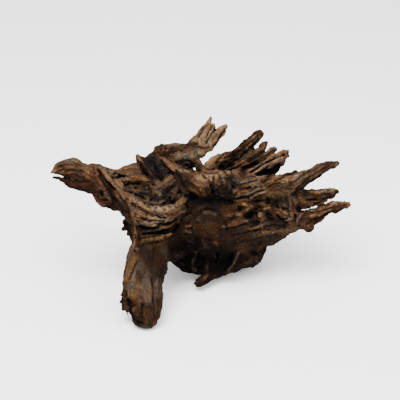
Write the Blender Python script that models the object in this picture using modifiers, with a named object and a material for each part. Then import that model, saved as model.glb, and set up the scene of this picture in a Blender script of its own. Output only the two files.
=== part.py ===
"""A weathered root end of ebony driftwood: one grown piece with a stout leg, a long beaked limb, a split
upper branch, a hollowed bowl and a crown of torn prongs.

The wood is laid out limb by limb in the plane that a viewer standing in front and a little above looks at:
each station gives how far right and how far up it lies in that plane and how near the viewer it is, with the
half width seen by the viewer and the half depth along the line of sight, all in millimetres. Every limb is a
loft between unlike oval sections; the limbs are grown together, hollowed, and given the relief of the grain.
"""

import math

import bpy
import numpy as np

MM = 0.001

LENGTH = 300.0  # beak to the tip of the longest prong, left to right
VIEW_TILT = math.radians(30.0)  # the layout plane leans back by this from upright
EYE = 1500.0  # the viewer's eye is this far from the layout plane
EYE_UP = 15.0  # and this far up it, so what is nearer is drawn in to cover the same spot
GROUND = -82.0  # height of the ground below the middle of the layout, before it is moved to zero
FLAT_SPOT = 1.0  # how much of the highest of the low points is worn away flat
SUPPORTS = ((-54, -107, 31), (54, -43.5, -74), (-30, -29, -103))  # the low points: foot, side root, back root
SUPPORT_REACH = 16.0
GROUND_DEPTH = 40.0

LOFT_SIDES = 28
STATION_STEP = 2.0  # spacing of the sections along a limb
THINNEST = 0.6  # half width of the thinnest section
END_ON = 0.35  # below this, a limb points at the viewer so nearly that its width keeps its last direction
END_SWELL = (math.radians(40.0), math.radians(70.0))  # where the rings of a limb's rounded ends lie
UNION_VOXEL = 1.3
BLEND = 1.5  # how softly one limb runs into the next, in millimetres
MOST_FILLET = 1.4  # in blends: how far the surface stands out where many limbs meet
CHUNK = 20000  # points measured at a time
TRIANGLES = 11000

WOOD_COLOUR = (0.056, 0.031, 0.020, 1.0)
WOOD_ROUGHNESS = 0.78

GRAIN_LENGTH = 11.0  # a grain line is this many times as long as the lines are apart
GROOVE = (0.6, 0.09)  # depth and width of the grooves between the grain lines, as shares of the grain
CRACK = (1.1, 0.035)
LUMP = 6.5  # millimetres across a lump
CRUMB = 2.6

# how deep the grain is worn, how far apart its lines are, and how crumbly the surface is, in millimetres
KINDS = {
    "worn": (0.5, 4.2, 0.7),
    "fine": (0.9, 2.4, 0.7),
    "torn": (1.7, 3.4, 1.0),
    "knotty": (1.3, 4.6, 2.0),
    "rotten": (0.8, 3.2, 2.6),
    "stringy": (1.2, 2.8, 0.8),
}

# kind, then at each station: right, up, near, half width, half depth
LIMBS = {
    "heart": ("knotty", [(-38, 4, -24, 18, 14), (-20, 6, -28, 26, 26), (8, 10, -32, 26, 30),
        (36, 12, -30, 21, 26), (62, 14, -24, 15, 19), (82, 14, -18, 11, 14)]),
    "flank": ("knotty", [(-22, -8, -26, 22, 26), (2, -12, -28, 29, 34), (28, -13, -32, 29, 35),
        (52, -11, -34, 25, 31), (76, -7, -30, 19, 23), (93, -5, -24, 13, 16)]),
    "dome": ("knotty", [(-17, -4, -14, 12, 14), (1, -9, -5, 15, 16), (20, -14, -10, 13, 13)]),
    "belly": ("knotty", [(-30, -27, -40, 13.5, 17), (-12, -37, -42, 21, 17), (9, -40, -41, 22, 17),
        (32, -38.5, -43, 20.5, 17), (50, -33, -47, 16, 17)]),
    "belly_rib_a": ("stringy", [(-6, -26, -14, 3, 7), (-9, -40, -22, 2.6, 7), (-8, -54, -28, 2.4, 7)]),
    "belly_rib_b": ("stringy", [(7, -26, -12, 3.4, 7), (5, -40, -21, 2.8, 7), (3, -56, -28, 2.4, 7)]),
    "belly_rib_c": ("stringy", [(40, -30, -18, 4, 9), (34, -44, -28, 3, 8), (27, -57, -34, 2.4, 6)]),
    "arch": ("knotty", [(-50, -22, 0, 14, 14), (-36, -25, -16, 17, 18), (-22, -28, -38, 18, 22)]),
    "splinter": ("torn", [(16, -58, -36, 5.4, 5.4), (4, -65, -28, 5.2, 5), (-3.4, -70, -24, 4, 4)]),
    "back": ("knotty", [(-34, 16, -44, 18, 18), (-4, 8, -62, 24, 24), (34, 2, -64, 23, 23),
        (66, 4, -54, 14, 16)]),
    "back_rib_a": ("stringy", [(-58, 34, -22, 5, 6), (-34, 38, -48, 6, 7), (-2, 36, -74, 7, 8),
        (36, 28, -84, 6, 7), (70, 18, -72, 5, 6), (92, 12, -52, 3, 4)]),
    "back_rib_b": ("torn", [(-54, 10, -26, 5, 7), (-30, 16, -60, 7, 8), (0, 16, -86, 8, 8),
        (36, 10, -90, 7, 7), (68, 4, -72, 5, 6), (90, -2, -48, 3, 4)]),
    "back_rib_c": ("stringy", [(-42, -10, -30, 5, 7), (-20, -8, -62, 6, 8), (10, -10, -86, 7, 8),
        (42, -14, -84, 6, 7), (68, -12, -62, 4, 5)]),
    "back_knot": ("knotty", [(28, 20, -84, 9, 8), (34, 24, -95, 5, 5), (35, 25, -99, 3, 3)]),
    "back_flare": ("torn", [(-46, 44, -30, 6, 7), (-20, 54, -46, 7, 7), (10, 56, -54, 6, 6),
        (28, 62, -62, 3.4, 3.6)]),
    "back_root": ("torn", [(-12, 0, -66, 17, 17), (-24, -15, -88, 11, 12), (-30, -29, -103, 7.5, 8)]),
    "side_root": ("torn", [(40, -22, -56, 14, 16), (50, -37, -68, 10, 12), (54, -43.5, -74, 8, 9)]),
    "leg": ("worn", [(-48, -18, 0, 16, 14), (-51, -34, 6, 19, 14.5), (-55, -50, 12, 20, 14),
        (-57.5, -65, 18, 19.5, 13), (-59, -80, 23, 19, 12), (-57.5, -92, 27, 17, 11),
        (-55, -101.5, 30, 14.5, 9.5), (-54, -107, 31, 11, 8)]),
    "neck": ("stringy", [(-112, 38, 5, 10, 9), (-96, 32, 4, 14, 11), (-84, 27, 0, 17, 11),
        (-68, 22, -10, 18, 9)]),
    "head": ("fine", [(-148, 43, 8, 1.6, 2), (-143.5, 44.5, 8, 4, 4), (-137, 47, 8, 7, 7),
        (-127, 46.5, 7, 9.5, 9), (-116, 42.6, 6, 9.6, 10), (-104, 37, 5, 11, 10), (-94, 31, 4, 12, 11)]),
    "jaw": ("fine", [(-145, 36.2, 8, 1.3, 1.8), (-137, 34.6, 8, 2.1, 3), (-129, 32, 7, 4.4, 5),
        (-119, 30, 6, 6, 7), (-107, 27.5, 5, 6, 8)]),
    "wattle": ("rotten", [(-103, 27, 6, 4, 5), (-100, 18, 7, 6.4, 7), (-94, 13, 5, 5.4, 6),
        (-83, 8, 2, 5, 5)]),
    "neck_strand_a": ("stringy", [(-108, 49, 5, 2.4, 3), (-104, 43, 10, 2.6, 4), (-100, 33, 13, 2.8, 4),
        (-95, 24, 13, 2.6, 4), (-91, 16, 11, 2.2, 4)]),
    "neck_strand_b": ("stringy", [(-103, 47, 6, 2.4, 3), (-94, 38.5, 12, 2.8, 4), (-87, 29, 15, 3.2, 4),
        (-80, 20, 15, 3.4, 5), (-74, 9, 13, 3.4, 5), (-69, -2, 11, 3.4, 5), (-65, -14, 11, 3.4, 5),
        (-63, -27, 11, 4.2, 6), (-66, -42, 12, 3.6, 6)]),
    "neck_strand_c": ("stringy", [(-90, 16, 6, 3, 4), (-80, 5, 7, 3.6, 5), (-72, -6, 6, 3.6, 5),
        (-68, -16, 5, 3, 4)]),
    "arch_root": ("knotty", [(-68, 4, 0, 5, 7), (-62, -10, 2, 8, 9), (-59, -22, 4, 9, 10)]),
    "bowl_floor": ("rotten", [(-84, 28, -10, 8, 6), (-70, 24, -14, 14, 9), (-54, 21, -16, 19, 11),
        (-36, 20, -17, 20, 12), (-20, 20, -17, 17, 13)]),
    "bowl_base": ("knotty", [(-74, 10, 0, 6, 9), (-56, 3, -1, 9, 12), (-36, 1, -4, 9, 12),
        (-24, 4, -8, 7, 12)]),
    "bowl_floor_lump": ("rotten", [(-60, 24, -4, 4, 4), (-50, 22, -5, 5, 5), (-40, 16, -5, 5, 5)]),
    "bowl_strand_a": ("stringy", [(-47, 15, -3, 2.4, 4), (-38, 26, 0, 2.4, 4), (-28, 37, 2, 2.6, 5)]),
    "bowl_strand_b": ("rotten", [(-34, 12, -3, 2.6, 4), (-26, 20, -2, 2.6, 4), (-20, 31, 0, 2.6, 5)]),
    "upper_neck": ("fine", [(-98, 42.5, 4, 4, 5), (-82, 40, 4, 5.6, 7), (-68, 40.5, 2, 8, 8),
        (-56, 40.5, -3, 8, 8)]),
    "bowl_ledge": ("stringy", [(-94, 41, 9, 3, 3), (-80, 36, 9, 3.4, 4), (-65, 36.5, 8, 3.4, 4),
        (-50, 34.5, 6, 4, 5), (-37, 30, 4, 4, 5), (-27, 32, 2, 3.5, 5)]),
    "bowl_rim_a": ("stringy", [(-88, 40, 12, 2.8, 3), (-81, 30, 13, 3.4, 4), (-75, 20, 13, 4.4, 5),
        (-64, 10.5, 13, 5, 6), (-50, 5, 13, 5.2, 7), (-35, 4.5, 11, 5, 7), (-23, 9, 6, 4.4, 7),
        (-15, 18, 2, 3.6, 6), (-14, 28, -1, 3, 5)]),
    "bowl_rim_b": ("stringy", [(-82, 22, 9, 3, 4), (-70, 5.5, 12, 5, 6), (-53, -1.5, 14, 5.4, 7),
        (-35, -2.5, 12, 5, 7), (-19, 3.5, 6, 4, 7)]),
    "bowl_rim_c": ("stringy", [(-77, 12, 6, 3, 4), (-66, -2, 10, 4.4, 6), (-52, -8, 14, 3.6, 7),
        (-37, -7.5, 12, 3.4, 7), (-24, -2, 6, 3, 6)]),
    "bowl_lip": ("rotten", [(-58, -15.5, 8, 2, 4), (-45, -14.5, 10, 2.4, 5), (-32, -13, 8, 2.4, 5),
        (-23, -7, 3, 2.2, 5)]),
    "ledge_ochre": ("rotten", [(-63, -30, 11, 3, 4), (-52, -27.5, 15, 3.6, 5), (-40, -23, 14, 3.4, 5),
        (-28, -18, 10, 3, 5), (-20, -12, 5, 2.6, 4)]),
    "leg_strand_a": ("worn", [(-41, -42, 18, 2.4, 3), (-42.5, -60, 24, 3.2, 3.6),
        (-42.5, -80, 30, 3.2, 3.6), (-44, -99, 33, 2.6, 3)]),
    "leg_strand_b": ("worn", [(-37, -46, 11, 2.6, 4), (-37.5, -62, 17, 2.8, 4), (-39.5, -79, 22, 2.8, 4),
        (-39.5, -87, 25, 3, 4), (-43, -101, 28, 2.2, 3)]),
    "leg_strand_c": ("rotten", [(-67, -40, 14, 2.4, 3), (-71, -54, 19, 2.8, 3.4), (-73.5, -68, 23, 2.4, 3),
        (-75, -79, 25, 1.8, 2.6)]),
    "leg_toe": ("worn", [(-62, -86, 33, 4, 5), (-63, -97, 35, 4, 5), (-59, -104, 35, 3, 4)]),
    "leg_bark": ("rotten", [(-74, -80, 26, 2.4, 4), (-74.5, -87, 28, 3.8, 5), (-72.5, -93, 29, 3.6, 4.4)]),
    "hanging_bark": ("rotten", [(-70, -4, 2, 4, 4), (-73.5, -11, 3, 4.4, 4), (-70.5, -18, 3, 3.8, 3.6)]),
    "top_dark": ("rotten", [(-47, 52, -13, 6, 8), (-40, 45.5, -9, 9.5, 10), (-33, 40, -8, 9, 10),
        (-29, 35, -9, 7, 9)]),
    "fin": ("torn", [(-62.5, 59.5, 5, 1.4, 2), (-57, 53, 8, 3.4, 5), (-51, 45, 9, 4.2, 7),
        (-45, 37.5, 8, 3.6, 7), (-40, 33, 5, 2, 4)]),
    "top_plate": ("fine", [(-47, 55, -18, 6, 5), (-41, 58.5, -18, 9.5, 6), (-33, 59.5, -18, 12, 7),
        (-20, 59.5, -19, 12, 7), (-8, 61.5, -21, 11.6, 7), (0, 69, -23, 10.5, 6.5)]),
    "plate_nub_a": ("rotten", [(-44, 62, -17, 3, 4), (-40.5, 68, -19, 2.2, 3), (-39, 70, -20, 1.4, 2)]),
    "plate_nub_b": ("rotten", [(-34, 66, -17, 5, 4), (-29, 70.5, -19, 3, 3)]),
    "plate_back": ("knotty", [(-44, 44, -26, 10, 10), (-26, 46, -32, 12, 10), (-8, 48, -36, 11, 9),
        (4, 48, -34, 7, 8)]),
    "plate_ridge": ("stringy", [(-43, 60, -9, 2.2, 3), (-36, 54, -2, 3, 5), (-28, 47, 3, 3.2, 6),
        (-21, 42, 4, 3.4, 6), (-15, 38, 3, 3, 6)]),
    "branch": ("torn", [(-5, 65.5, -22, 10.5, 7), (3, 74, -24, 10, 6.5), (9, 80.5, -26, 8.5, 5)]),
    "branch_tip_a": ("fine", [(-3, 75, -24, 4, 4), (4.5, 86, -27, 3, 3), (10.6, 97.5, -30, 0.9, 1)]),
    "branch_tip_b": ("fine", [(5, 76, -25, 4, 4), (10.5, 84, -27, 3.4, 3), (13.6, 89.3, -28, 2.2, 2)]),
    "branch_tip_c": ("fine", [(8, 70, -24, 5, 4), (17.5, 81, -26, 4.2, 3.6), (23, 87.5, -28, 3, 2.6),
        (25.6, 90.3, -29, 1.6, 1.8)]),
    "hole_rim": ("fine", [(-26, 50, -6, 3, 4), (-16, 44.8, -2, 2.8, 4), (-7, 43.2, -2, 2.6, 4),
        (-3, 37, -2, 3, 4)]),
    "hole_bridge": ("rotten", [(-6, 57, -16, 4, 5), (-2, 50, -14, 2.8, 3), (-0.5, 42, -10, 2.4, 3),
        (-1, 36, -6, 3, 4)]),
    "lobe": ("fine", [(-20, 43, -6, 5.6, 7), (-11, 38, 2, 8, 9), (-3, 30, 6, 9, 10), (3, 24, 5, 6.5, 7)]),
    "pale_lobe": ("fine", [(-4, 33, 0, 5, 6), (5, 38, 1, 6, 7), (15, 38.5, 0, 6, 7), (26, 40, -3, 5.4, 6)]),
    "under_lobe": ("rotten", [(4, 28, -5, 8, 8), (14, 26, -8, 10, 10), (28, 26, -8, 10, 9)]),
    "knuckle_a": ("stringy", [(20, 39, 0, 2.4, 4), (20, 31, 2, 2, 4), (19, 24, 1, 1.6, 3)]),
    "knuckle_b": ("stringy", [(25, 39, -1, 2.6, 4), (26, 31, 2, 2.2, 4), (28, 24, 0, 1.8, 3)]),
    "hump": ("fine", [(4, 44, -8, 3, 5), (11, 51, -11, 5.2, 6), (19, 55.5, -13, 5.4, 6),
        (27, 56, -15, 4.4, 6)]),
    "crown_base": ("knotty", [(8, 40, -16, 9, 10), (24, 46, -21, 11, 11), (42, 48, -22, 12, 10),
        (60, 50, -22, 9, 8)]),
    "prong_a": ("torn", [(20, 51, -18, 5.6, 7), (33, 59, -22, 5.8, 7), (45, 67.8, -28, 5.9, 6.4),
        (54, 75.6, -34, 6, 5.6), (58.6, 80.4, -38, 4.2, 4.2)]),
    "prong_b": ("torn", [(33, 50, -15, 3.6, 5), (47, 59, -22, 3.5, 4.6), (57, 66.5, -28, 3.3, 4),
        (65, 73, -33, 2.6, 3)]),
    "prong_b_side": ("stringy", [(30, 48, -9, 2, 3), (44, 58, -14, 2, 3), (57, 67, -22, 1.4, 2)]),
    "prong_d": ("torn", [(44, 49, -15, 4.6, 6), (58, 57.5, -20, 5, 5), (68, 63.4, -25, 3.8, 4),
        (75, 67.6, -28, 1.5, 2)]),
    "prong_c": ("torn", [(36, 40, -8, 5, 6), (55, 48, -8, 3.6, 6), (70, 55.8, -12, 3.6, 5),
        (80, 60.5, -16, 4, 4.6), (85.5, 62.3, -18, 4.4, 4)]),
    "prong_c_rib": ("stringy", [(40, 36, -4, 3, 4), (55, 42.5, -3, 2.2, 5), (68, 50, -7, 2.2, 5),
        (80, 56.6, -12, 2.2, 4)]),
    "prong_c_under": ("torn", [(48, 36.5, -16, 5, 6), (64, 42, -18, 6, 6), (76, 49, -20, 5.4, 5),
        (82, 54.5, -21, 3.4, 4)]),
    "pale_plate": ("fine", [(34, 31, -3, 6.4, 8), (50, 31, -3, 6.8, 8), (64, 34, -6, 5.6, 7),
        (74, 36.5, -10, 3.4, 5)]),
    "long_prong": ("stringy", [(40, 20, -6, 6, 10), (60, 24, -4, 8, 11), (80, 28, -4, 10, 11),
        (95, 31, -6, 9, 9), (105, 35.2, -8, 7.6, 7), (114, 40, -11, 6.3, 5.8), (121.5, 44.6, -14, 5.2, 5),
        (128, 47.8, -16, 4.2, 4), (134, 50.2, -18, 3.1, 3), (137.6, 51.4, -19, 2.2, 2.2)]),
    "long_hump": ("rotten", [(64, 30, 2, 3, 5), (74, 34.5, 4, 4.6, 6), (84, 34.5, 3, 3.6, 5),
        (90, 32, 1, 2, 4)]),
    "long_under": ("stringy", [(36, 16, -2, 2.6, 6), (52, 21, 2, 2.2, 6), (68, 24, 4, 2.6, 5),
        (84, 20, 2, 3, 5)]),
    "long_rib": ("stringy", [(78, 30, 5, 1.8, 4), (92, 31, 3, 1.8, 4), (106, 38, -2, 1.6, 3),
        (120, 46, -9, 1.2, 3)]),
    "twig": ("rotten", [(78, 37, -8, 2.6, 3), (86, 39.5, -9, 2, 2.2), (92, 42, -10, 1.8, 2),
        (97.5, 44.4, -11, 1.1, 1.2)]),
    "web": ("stringy", [(82, 22, -3, 8, 6), (88, 9, -8, 9, 7), (93, -4, -14, 8, 7)]),
    "web_fill": ("knotty", [(92, 27, -12, 8, 8), (98, 15, -16, 8, 8), (98, 3, -16, 7, 8)]),
    "web_strand_a": ("stringy", [(86, 27, 3, 2, 4), (88, 14, 0, 2, 4), (92, 2, -5, 2, 4),
        (99, -7, -8, 2, 4)]),
    "web_strand_b": ("stringy", [(94, 26, -1, 2.4, 4), (95, 14, -6, 2.4, 4), (98, 3, -8, 2.2, 4),
        (105, -4, -9, 2, 3)]),
    "mid_prong": ("torn", [(90, 15, -16, 9, 9), (104, 15, -22, 9.2, 8), (117, 18, -28, 6.6, 6.4),
        (127, 20.8, -32, 4.6, 4.6), (134, 23, -35, 2.8, 3), (138.6, 24, -37, 1.3, 1.8)]),
    "low_prong": ("torn", [(88, -8, -18, 9, 10), (103, -4, -16, 8, 8.4), (112, -1.8, -15, 7.2, 7.4),
        (120, 1.4, -14, 6.9, 6.4), (131, 6.2, -13, 5.2, 5.4), (141, 9.2, -12, 3.4, 3.8),
        (150, 10.4, -11, 1.2, 1.4)]),
    "knob": ("fine", [(104, -6, -12, 4.8, 5), (108.5, -12, -8, 4.6, 4.4)]),
    "flank_knob": ("fine", [(60, -2, -6, 3.2, 4), (61, -0.5, 1, 3, 3)]),
    "flank_ridge_a": ("stringy", [(20, -13, 2, 2.4, 3), (34, -8, 2, 2.4, 4), (46, -5, 0, 2, 3)]),
    "flank_ridge_b": ("knotty", [(24, 8, 0, 3.4, 4), (40, 12, 1, 5, 5), (56, 10, -1, 4, 4),
        (66, 12, -3, 3, 3)]),
    "flank_crag": ("rotten", [(66, 4, -7, 4, 4), (76, 2, -8, 5, 4), (87, -2, -10, 3.4, 4)]),
    "flank_ridge_c": ("stringy", [(44, -14, -1, 3, 3), (64, -9, -6, 3, 4), (84, -6, -12, 2.6, 3)]),
    "flank_ridge_d": ("stringy", [(4, 6, -2, 2, 4), (22, -1, 2, 2.4, 4), (40, 2, 1, 2, 4),
        (50, 8, 0, 1.6, 3)]),
    "flank_ridge_e": ("stringy", [(-12, -18, -2, 3, 5), (10, -25, 0, 2.6, 5), (36, -24, -4, 2.6, 5),
        (60, -18, -10, 2.4, 4)]),
    "right_lump": ("rotten", [(36, -37, -50, 10, 14), (52, -42, -52, 9.5, 12)]),
    "right_knob": ("rotten", [(50, -36, -36, 5, 6), (55, -42, -40, 5.4, 6)]),
    "back_prong_up": ("torn", [(14, 30, -48, 10, 11), (34, 48, -72, 6.6, 6.5), (43, 57, -86, 4, 4.2),
        (49, 61, -96, 2, 2.4)]),
    "back_prong_up_side": ("stringy", [(26, 38, -62, 5, 6), (42, 48, -80, 3.2, 3.4),
        (51, 51, -92, 1.6, 1.8)]),
    "back_prong_out": ("torn", [(54, 14, -50, 11, 12), (84, 18, -70, 6.4, 6.6), (98, 19, -80, 4.2, 4.4),
        (108, 20, -88, 1.8, 2.2)]),
    "back_prong_out_side": ("stringy", [(70, 20, -60, 5, 5), (90, 26, -74, 3.2, 3.4),
        (102, 32, -82, 1.4, 1.6)]),
    "back_stub": ("torn", [(-26, 34, -40, 12, 12), (-36, 41, -64, 7.5, 7), (-40, 45, -78, 4.6, 4.4)]),
}

# right, up, near, half width, half depth of what has rotted or split away
HOLLOWS = {
    "beak_slit": [(-152, 39.4, 8, 1.4, 14), (-142, 38.9, 8, 1.3, 14), (-131, 38.6, 8, 1.1, 14)],
    "eye": [(-14, 51, 14, 6, 4.4), (-14.5, 50.5, -14, 5.4, 4), (-15, 50, -24, 4, 3)],
    "pin_hole": [(-4.8, 45.2, 14, 1.5, 1.8), (-4.8, 45.2, -60, 1.5, 1.8)],
    "tip_cleft_a": [(10, 94, -22, 1.2, 4), (5, 84, -20, 1.2, 5), (0, 75, -18, 0.9, 4)],
    "tip_cleft_b": [(18, 90, -24, 1.5, 5), (12.5, 81, -20, 1.3, 5), (6, 72, -17, 0.9, 4)],
    "wattle_cleft": [(-108, 21.5, 14, 1.1, 8), (-100, 23.5, 16, 1.2, 8), (-92, 24, 15, 0.8, 6)],
    "long_crevice": [(-13, 20, 10, 1.8, 9), (-1, 14.5, 9, 3.8, 13), (15, 13.6, 7, 4, 15),
        (32, 15.6, 6, 3, 14), (50, 20, 8, 2, 10), (61, 23, 9, 1.2, 7)],
    "rim_crevice": [(-60, -12, 20, 1.3, 6), (-50, -12.6, 22, 1.6, 9), (-40, -12, 20, 1.6, 9),
        (-27, -8, 12, 1.3, 7)],
    "rim_slot": [(-58, -19, 18, 1.6, 7), (-48, -20, 20, 2.6, 11), (-38, -18.4, 18, 2.4, 10),
        (-28, -13.6, 12, 1.4, 7)],
    "knot_hole": [(51, 1.5, 12, 4.8, 5.8), (51, 2, -10, 4.2, 5), (52, 3, -18, 2, 3)],
    "knot_dent": [(57, -8, 10, 4.6, 3.4), (57, -8, -10, 3, 2)],
    "crag_dent": [(70, 9, 8, 3.4, 2.4), (70, 8, -12, 2.4, 1.8)],
    "fork_hole": [(95, -5, 10, 1.9, 3), (95, -5, -40, 1.9, 3)],
    "fork_gap": [(99, 24, 10, 1.8, 10), (104, 28, 4, 1.6, 10), (96, 18, 6, 1.2, 8)],
    "neck_eye": [(-86, 41, 12, 1, 4), (-81, 39.4, 12, 1.8, 7), (-74, 38, 10, 1, 5)],
    "neck_split": [(-101, 43, 15, 1, 6), (-93, 33, 18, 1.9, 9), (-86, 24, 19, 1.5, 7),
        (-82, 18, 18, 0.9, 5)],
    "toe_split": [(-57, -84, 46, 1, 8), (-57.5, -95, 46, 1.9, 10), (-58, -106, 44, 1.5, 9)],
    "leg_groove_a": [(-46, -48, 26, 1, 5), (-46.5, -66, 34, 1.5, 8), (-46, -86, 40, 1.6, 9),
        (-45.5, -106, 42, 1.3, 7)],
    "leg_groove_b": [(-39.8, -50, 22, 0.8, 5), (-39.6, -66, 27, 1.1, 6), (-41, -84, 32, 1.1, 6),
        (-42, -98, 33, 0.8, 5)],
    "leg_groove_c": [(-64, -48, 24, 0.9, 6), (-69.5, -66, 29, 1.3, 7), (-71.5, -78, 31, 1, 6)],
    "ridge_split": [(-42, 51, 4, 1.2, 7), (-34, 45, 8, 1.7, 10), (-27, 39, 10, 1.9, 10),
        (-22, 32, 8, 1.4, 8)],
    "fin_split": [(-54, 51.5, 8, 0.9, 6), (-47, 43, 10, 1.5, 9), (-41, 36, 8, 1.2, 7)],
    "under_prong_a": [(18, 47, -2, 2.6, 8), (28, 50, -4, 4.4, 12), (39, 57.5, -9, 3, 11),
        (47, 63, -16, 1.6, 7)],
    "under_prong_b": [(42, 63.5, -14, 1.2, 8), (52, 69.5, -20, 1.3, 9), (60, 75, -28, 1.3, 9)],
    "under_prong_d": [(42, 47.5, -6, 2, 7), (51, 49.5, -6, 3.4, 11), (62, 55, -10, 2, 9),
        (70, 60, -16, 1.3, 8)],
    "under_prong_c": [(56, 40, -4, 2, 7), (67, 44.5, -5, 3.6, 10), (77, 50, -9, 2.4, 8)],
    "lobe_hole_a": [(33, 31, 12, 4, 5.4), (34, 28, -6, 3.4, 4)],
    "lobe_hole_b": [(23, 27, 12, 2.2, 4.4), (23, 27, -6, 2, 3)],
    "lobe_cleft": [(11, 31, 10, 2, 7), (12, 24, 10, 3, 10), (14, 15, 9, 2.2, 8)],
    "belly_gap_c": [(-19, -26, -12, 3, 9), (-16, -36, -20, 4, 9), (-20, -48, -26, 2.6, 8)],
    "belly_gap_a": [(-1, -28, -14, 2.4, 8), (-2, -44, -24, 3, 9), (-4, -54, -28, 1.8, 7)],
    "belly_gap_b": [(22, -27, -12, 4, 9), (18, -38, -20, 6, 10), (14, -52, -30, 3, 8)],
    "back_hollow": [(-8, 25, -104, 8, 9), (0, 19, -88, 7, 7), (6, 15, -76, 4, 4)],
    "back_crack": [(-30, 27, -66, 1.6, 10), (2, 26, -92, 2.4, 12), (38, 19, -98, 2, 11),
        (68, 11, -82, 1.4, 8)],
    "back_split": [(-26, 4, -70, 1.6, 10), (6, 3, -98, 2.4, 12), (40, -2, -100, 2, 10),
        (66, -4, -78, 1.4, 8)],
}


def to_world(layout):
    """Layout points, in millimetres right, up and near, as upright points in millimetres above the ground."""
    near = layout[..., 2]
    spread = 1 - near / EYE
    right = layout[..., 0] * spread
    up = EYE_UP + (layout[..., 1] - EYE_UP) * spread
    back = up * math.sin(VIEW_TILT) - near * math.cos(VIEW_TILT)
    height = up * math.cos(VIEW_TILT) + near * math.sin(VIEW_TILT) - GROUND
    return np.stack([right, back, height], axis=-1)


VIEWER = np.array([0.0, -math.cos(VIEW_TILT), math.sin(VIEW_TILT)])  # the way from the wood to the eye


def unit(vectors):
    return vectors / np.maximum(np.linalg.norm(vectors, axis=-1, keepdims=True), 1e-9)


def smooth_line(stations):
    """The stations joined by a Catmull-Rom curve and sampled about every STATION_STEP."""
    given = np.array(stations, float)
    ends = np.vstack([2 * given[0] - given[1], given, 2 * given[-1] - given[-2]])
    out = []
    for i in range(1, len(ends) - 2):
        before, here, after, beyond = ends[i - 1:i + 3]
        count = max(2, int(np.linalg.norm((after - here)[:3]) / STATION_STEP))
        for t in np.arange(count) / count:
            bend = 2 * before - 5 * here + 4 * after - beyond
            twist = 3 * here - before - 3 * after + beyond
            out.append(here + 0.5 * ((after - before) * t + bend * t ** 2 + twist * t ** 3))
    out.append(given[-1])
    line = np.array(out)
    line[:, 3:] = np.maximum(line[:, 3:], THINNEST)
    return line


class Limb:
    """One limb: its centre line, and at each section its half width and half depth and the way they point."""

    def __init__(self, stations):
        line = smooth_line(stations)
        self.centre = to_world(line[:, :3])
        self.wide, self.deep = line[:, 3], line[:, 4]
        self.along = unit(np.gradient(self.centre, axis=0))
        across = np.cross(self.along, VIEWER)
        for i in range(len(across)):
            if np.linalg.norm(across[i]) < END_ON:
                across[i] = across[i - 1] if i else (1.0, 0.0, 0.0)
        across -= self.along * (across * self.along).sum(1, keepdims=True)
        self.across = unit(across)
        self.front = np.cross(self.across, self.along)
        steps = np.linalg.norm(np.diff(self.centre, axis=0), axis=1)
        self.run = np.concatenate([[0.0], np.cumsum(steps)])

    def measure(self, points):
        """The distance of each point from this limb's surface, and its place: across, in front, along."""
        here = np.empty(len(points), int)
        for start in range(0, len(points), CHUNK):
            some = points[start:start + CHUNK]
            here[start:start + CHUNK] = ((some[:, None] - self.centre[None]) ** 2).sum(2).argmin(1)
        ahead = ((points - self.centre[here]) * self.along[here]).sum(1)
        last = len(self.centre) - 1
        there = np.clip(here + np.where(ahead > 0, 1, -1), 0, last)
        gap = np.linalg.norm(self.centre[there] - self.centre[here], axis=1)
        part = np.clip(np.abs(ahead) / np.maximum(gap, 1e-6), 0, 1)
        part[there == here] = 0.0

        def between(values):
            share = part if values.ndim == 1 else part[:, None]
            return values[here] * (1 - share) + values[there] * share

        offset = points - between(self.centre)
        across = (offset * between(self.across)).sum(1)
        front = (offset * between(self.front)).sum(1)
        past = np.where(there == here, ahead, 0.0)
        wide, deep = between(self.wide), between(self.deep)
        cap = np.minimum(wide, deep)
        ratio = np.sqrt((across / wide) ** 2 + (front / deep) ** 2 + (past / cap) ** 2)
        slope = np.sqrt((across / wide ** 2) ** 2 + (front / deep ** 2) ** 2 + (past / cap ** 2) ** 2)
        distance = (ratio - 1) * ratio / np.maximum(slope, 1e-6)
        return distance, np.stack([across, front, between(self.run) + past], axis=1)

    def loft(self, points, faces):
        """Adds the closed loft of this limb, with rounded ends, to the lists of points and faces."""
        turn = np.linspace(0, 2 * math.pi, LOFT_SIDES, endpoint=False)
        reach = np.minimum(self.wide, self.deep)
        sections = [(0, -reach[0] * math.sin(a), math.cos(a)) for a in reversed(END_SWELL)]
        sections += [(i, 0.0, 1.0) for i in range(len(self.wide))]
        sections += [(-1, reach[-1] * math.sin(a), math.cos(a)) for a in END_SWELL]
        first = len(points)
        for i, shift, shrink in sections:
            middle = self.centre[i] + self.along[i] * shift
            oval = (self.across[i] * (self.wide[i] * shrink) * np.cos(turn)[:, None]
                    + self.front[i] * (self.deep[i] * shrink) * np.sin(turn)[:, None])
            points.extend(middle + oval)
        count = len(sections)
        for ring in range(count - 1):
            for side in range(LOFT_SIDES):
                a = first + ring * LOFT_SIDES + side
                b = first + ring * LOFT_SIDES + (side + 1) % LOFT_SIDES
                faces.append((a, b, b + LOFT_SIDES, a + LOFT_SIDES))
        faces.append(tuple(first + side for side in range(LOFT_SIDES))[::-1])
        last = first + (count - 1) * LOFT_SIDES
        faces.append(tuple(last + side for side in range(LOFT_SIDES)))


def mesh_object(name, points, faces):
    mesh = bpy.data.meshes.new(name)
    mesh.from_pydata([tuple(p * MM) for p in points], [], faces)
    made = bpy.data.objects.new(name, mesh)
    bpy.context.scene.collection.objects.link(made)
    return made


def apply_modifiers(made):
    graph = bpy.context.evaluated_depsgraph_get()
    mesh = bpy.data.meshes.new_from_object(made.evaluated_get(graph))
    made.modifiers.clear()
    made.data = mesh


def remesh(made, voxel):
    grow = made.modifiers.new("grow_together", "REMESH")
    grow.mode = "VOXEL"
    grow.voxel_size = voxel * MM
    soften = made.modifiers.new("soften", "SMOOTH")
    soften.factor = 0.5
    soften.iterations = 2
    apply_modifiers(made)


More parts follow.
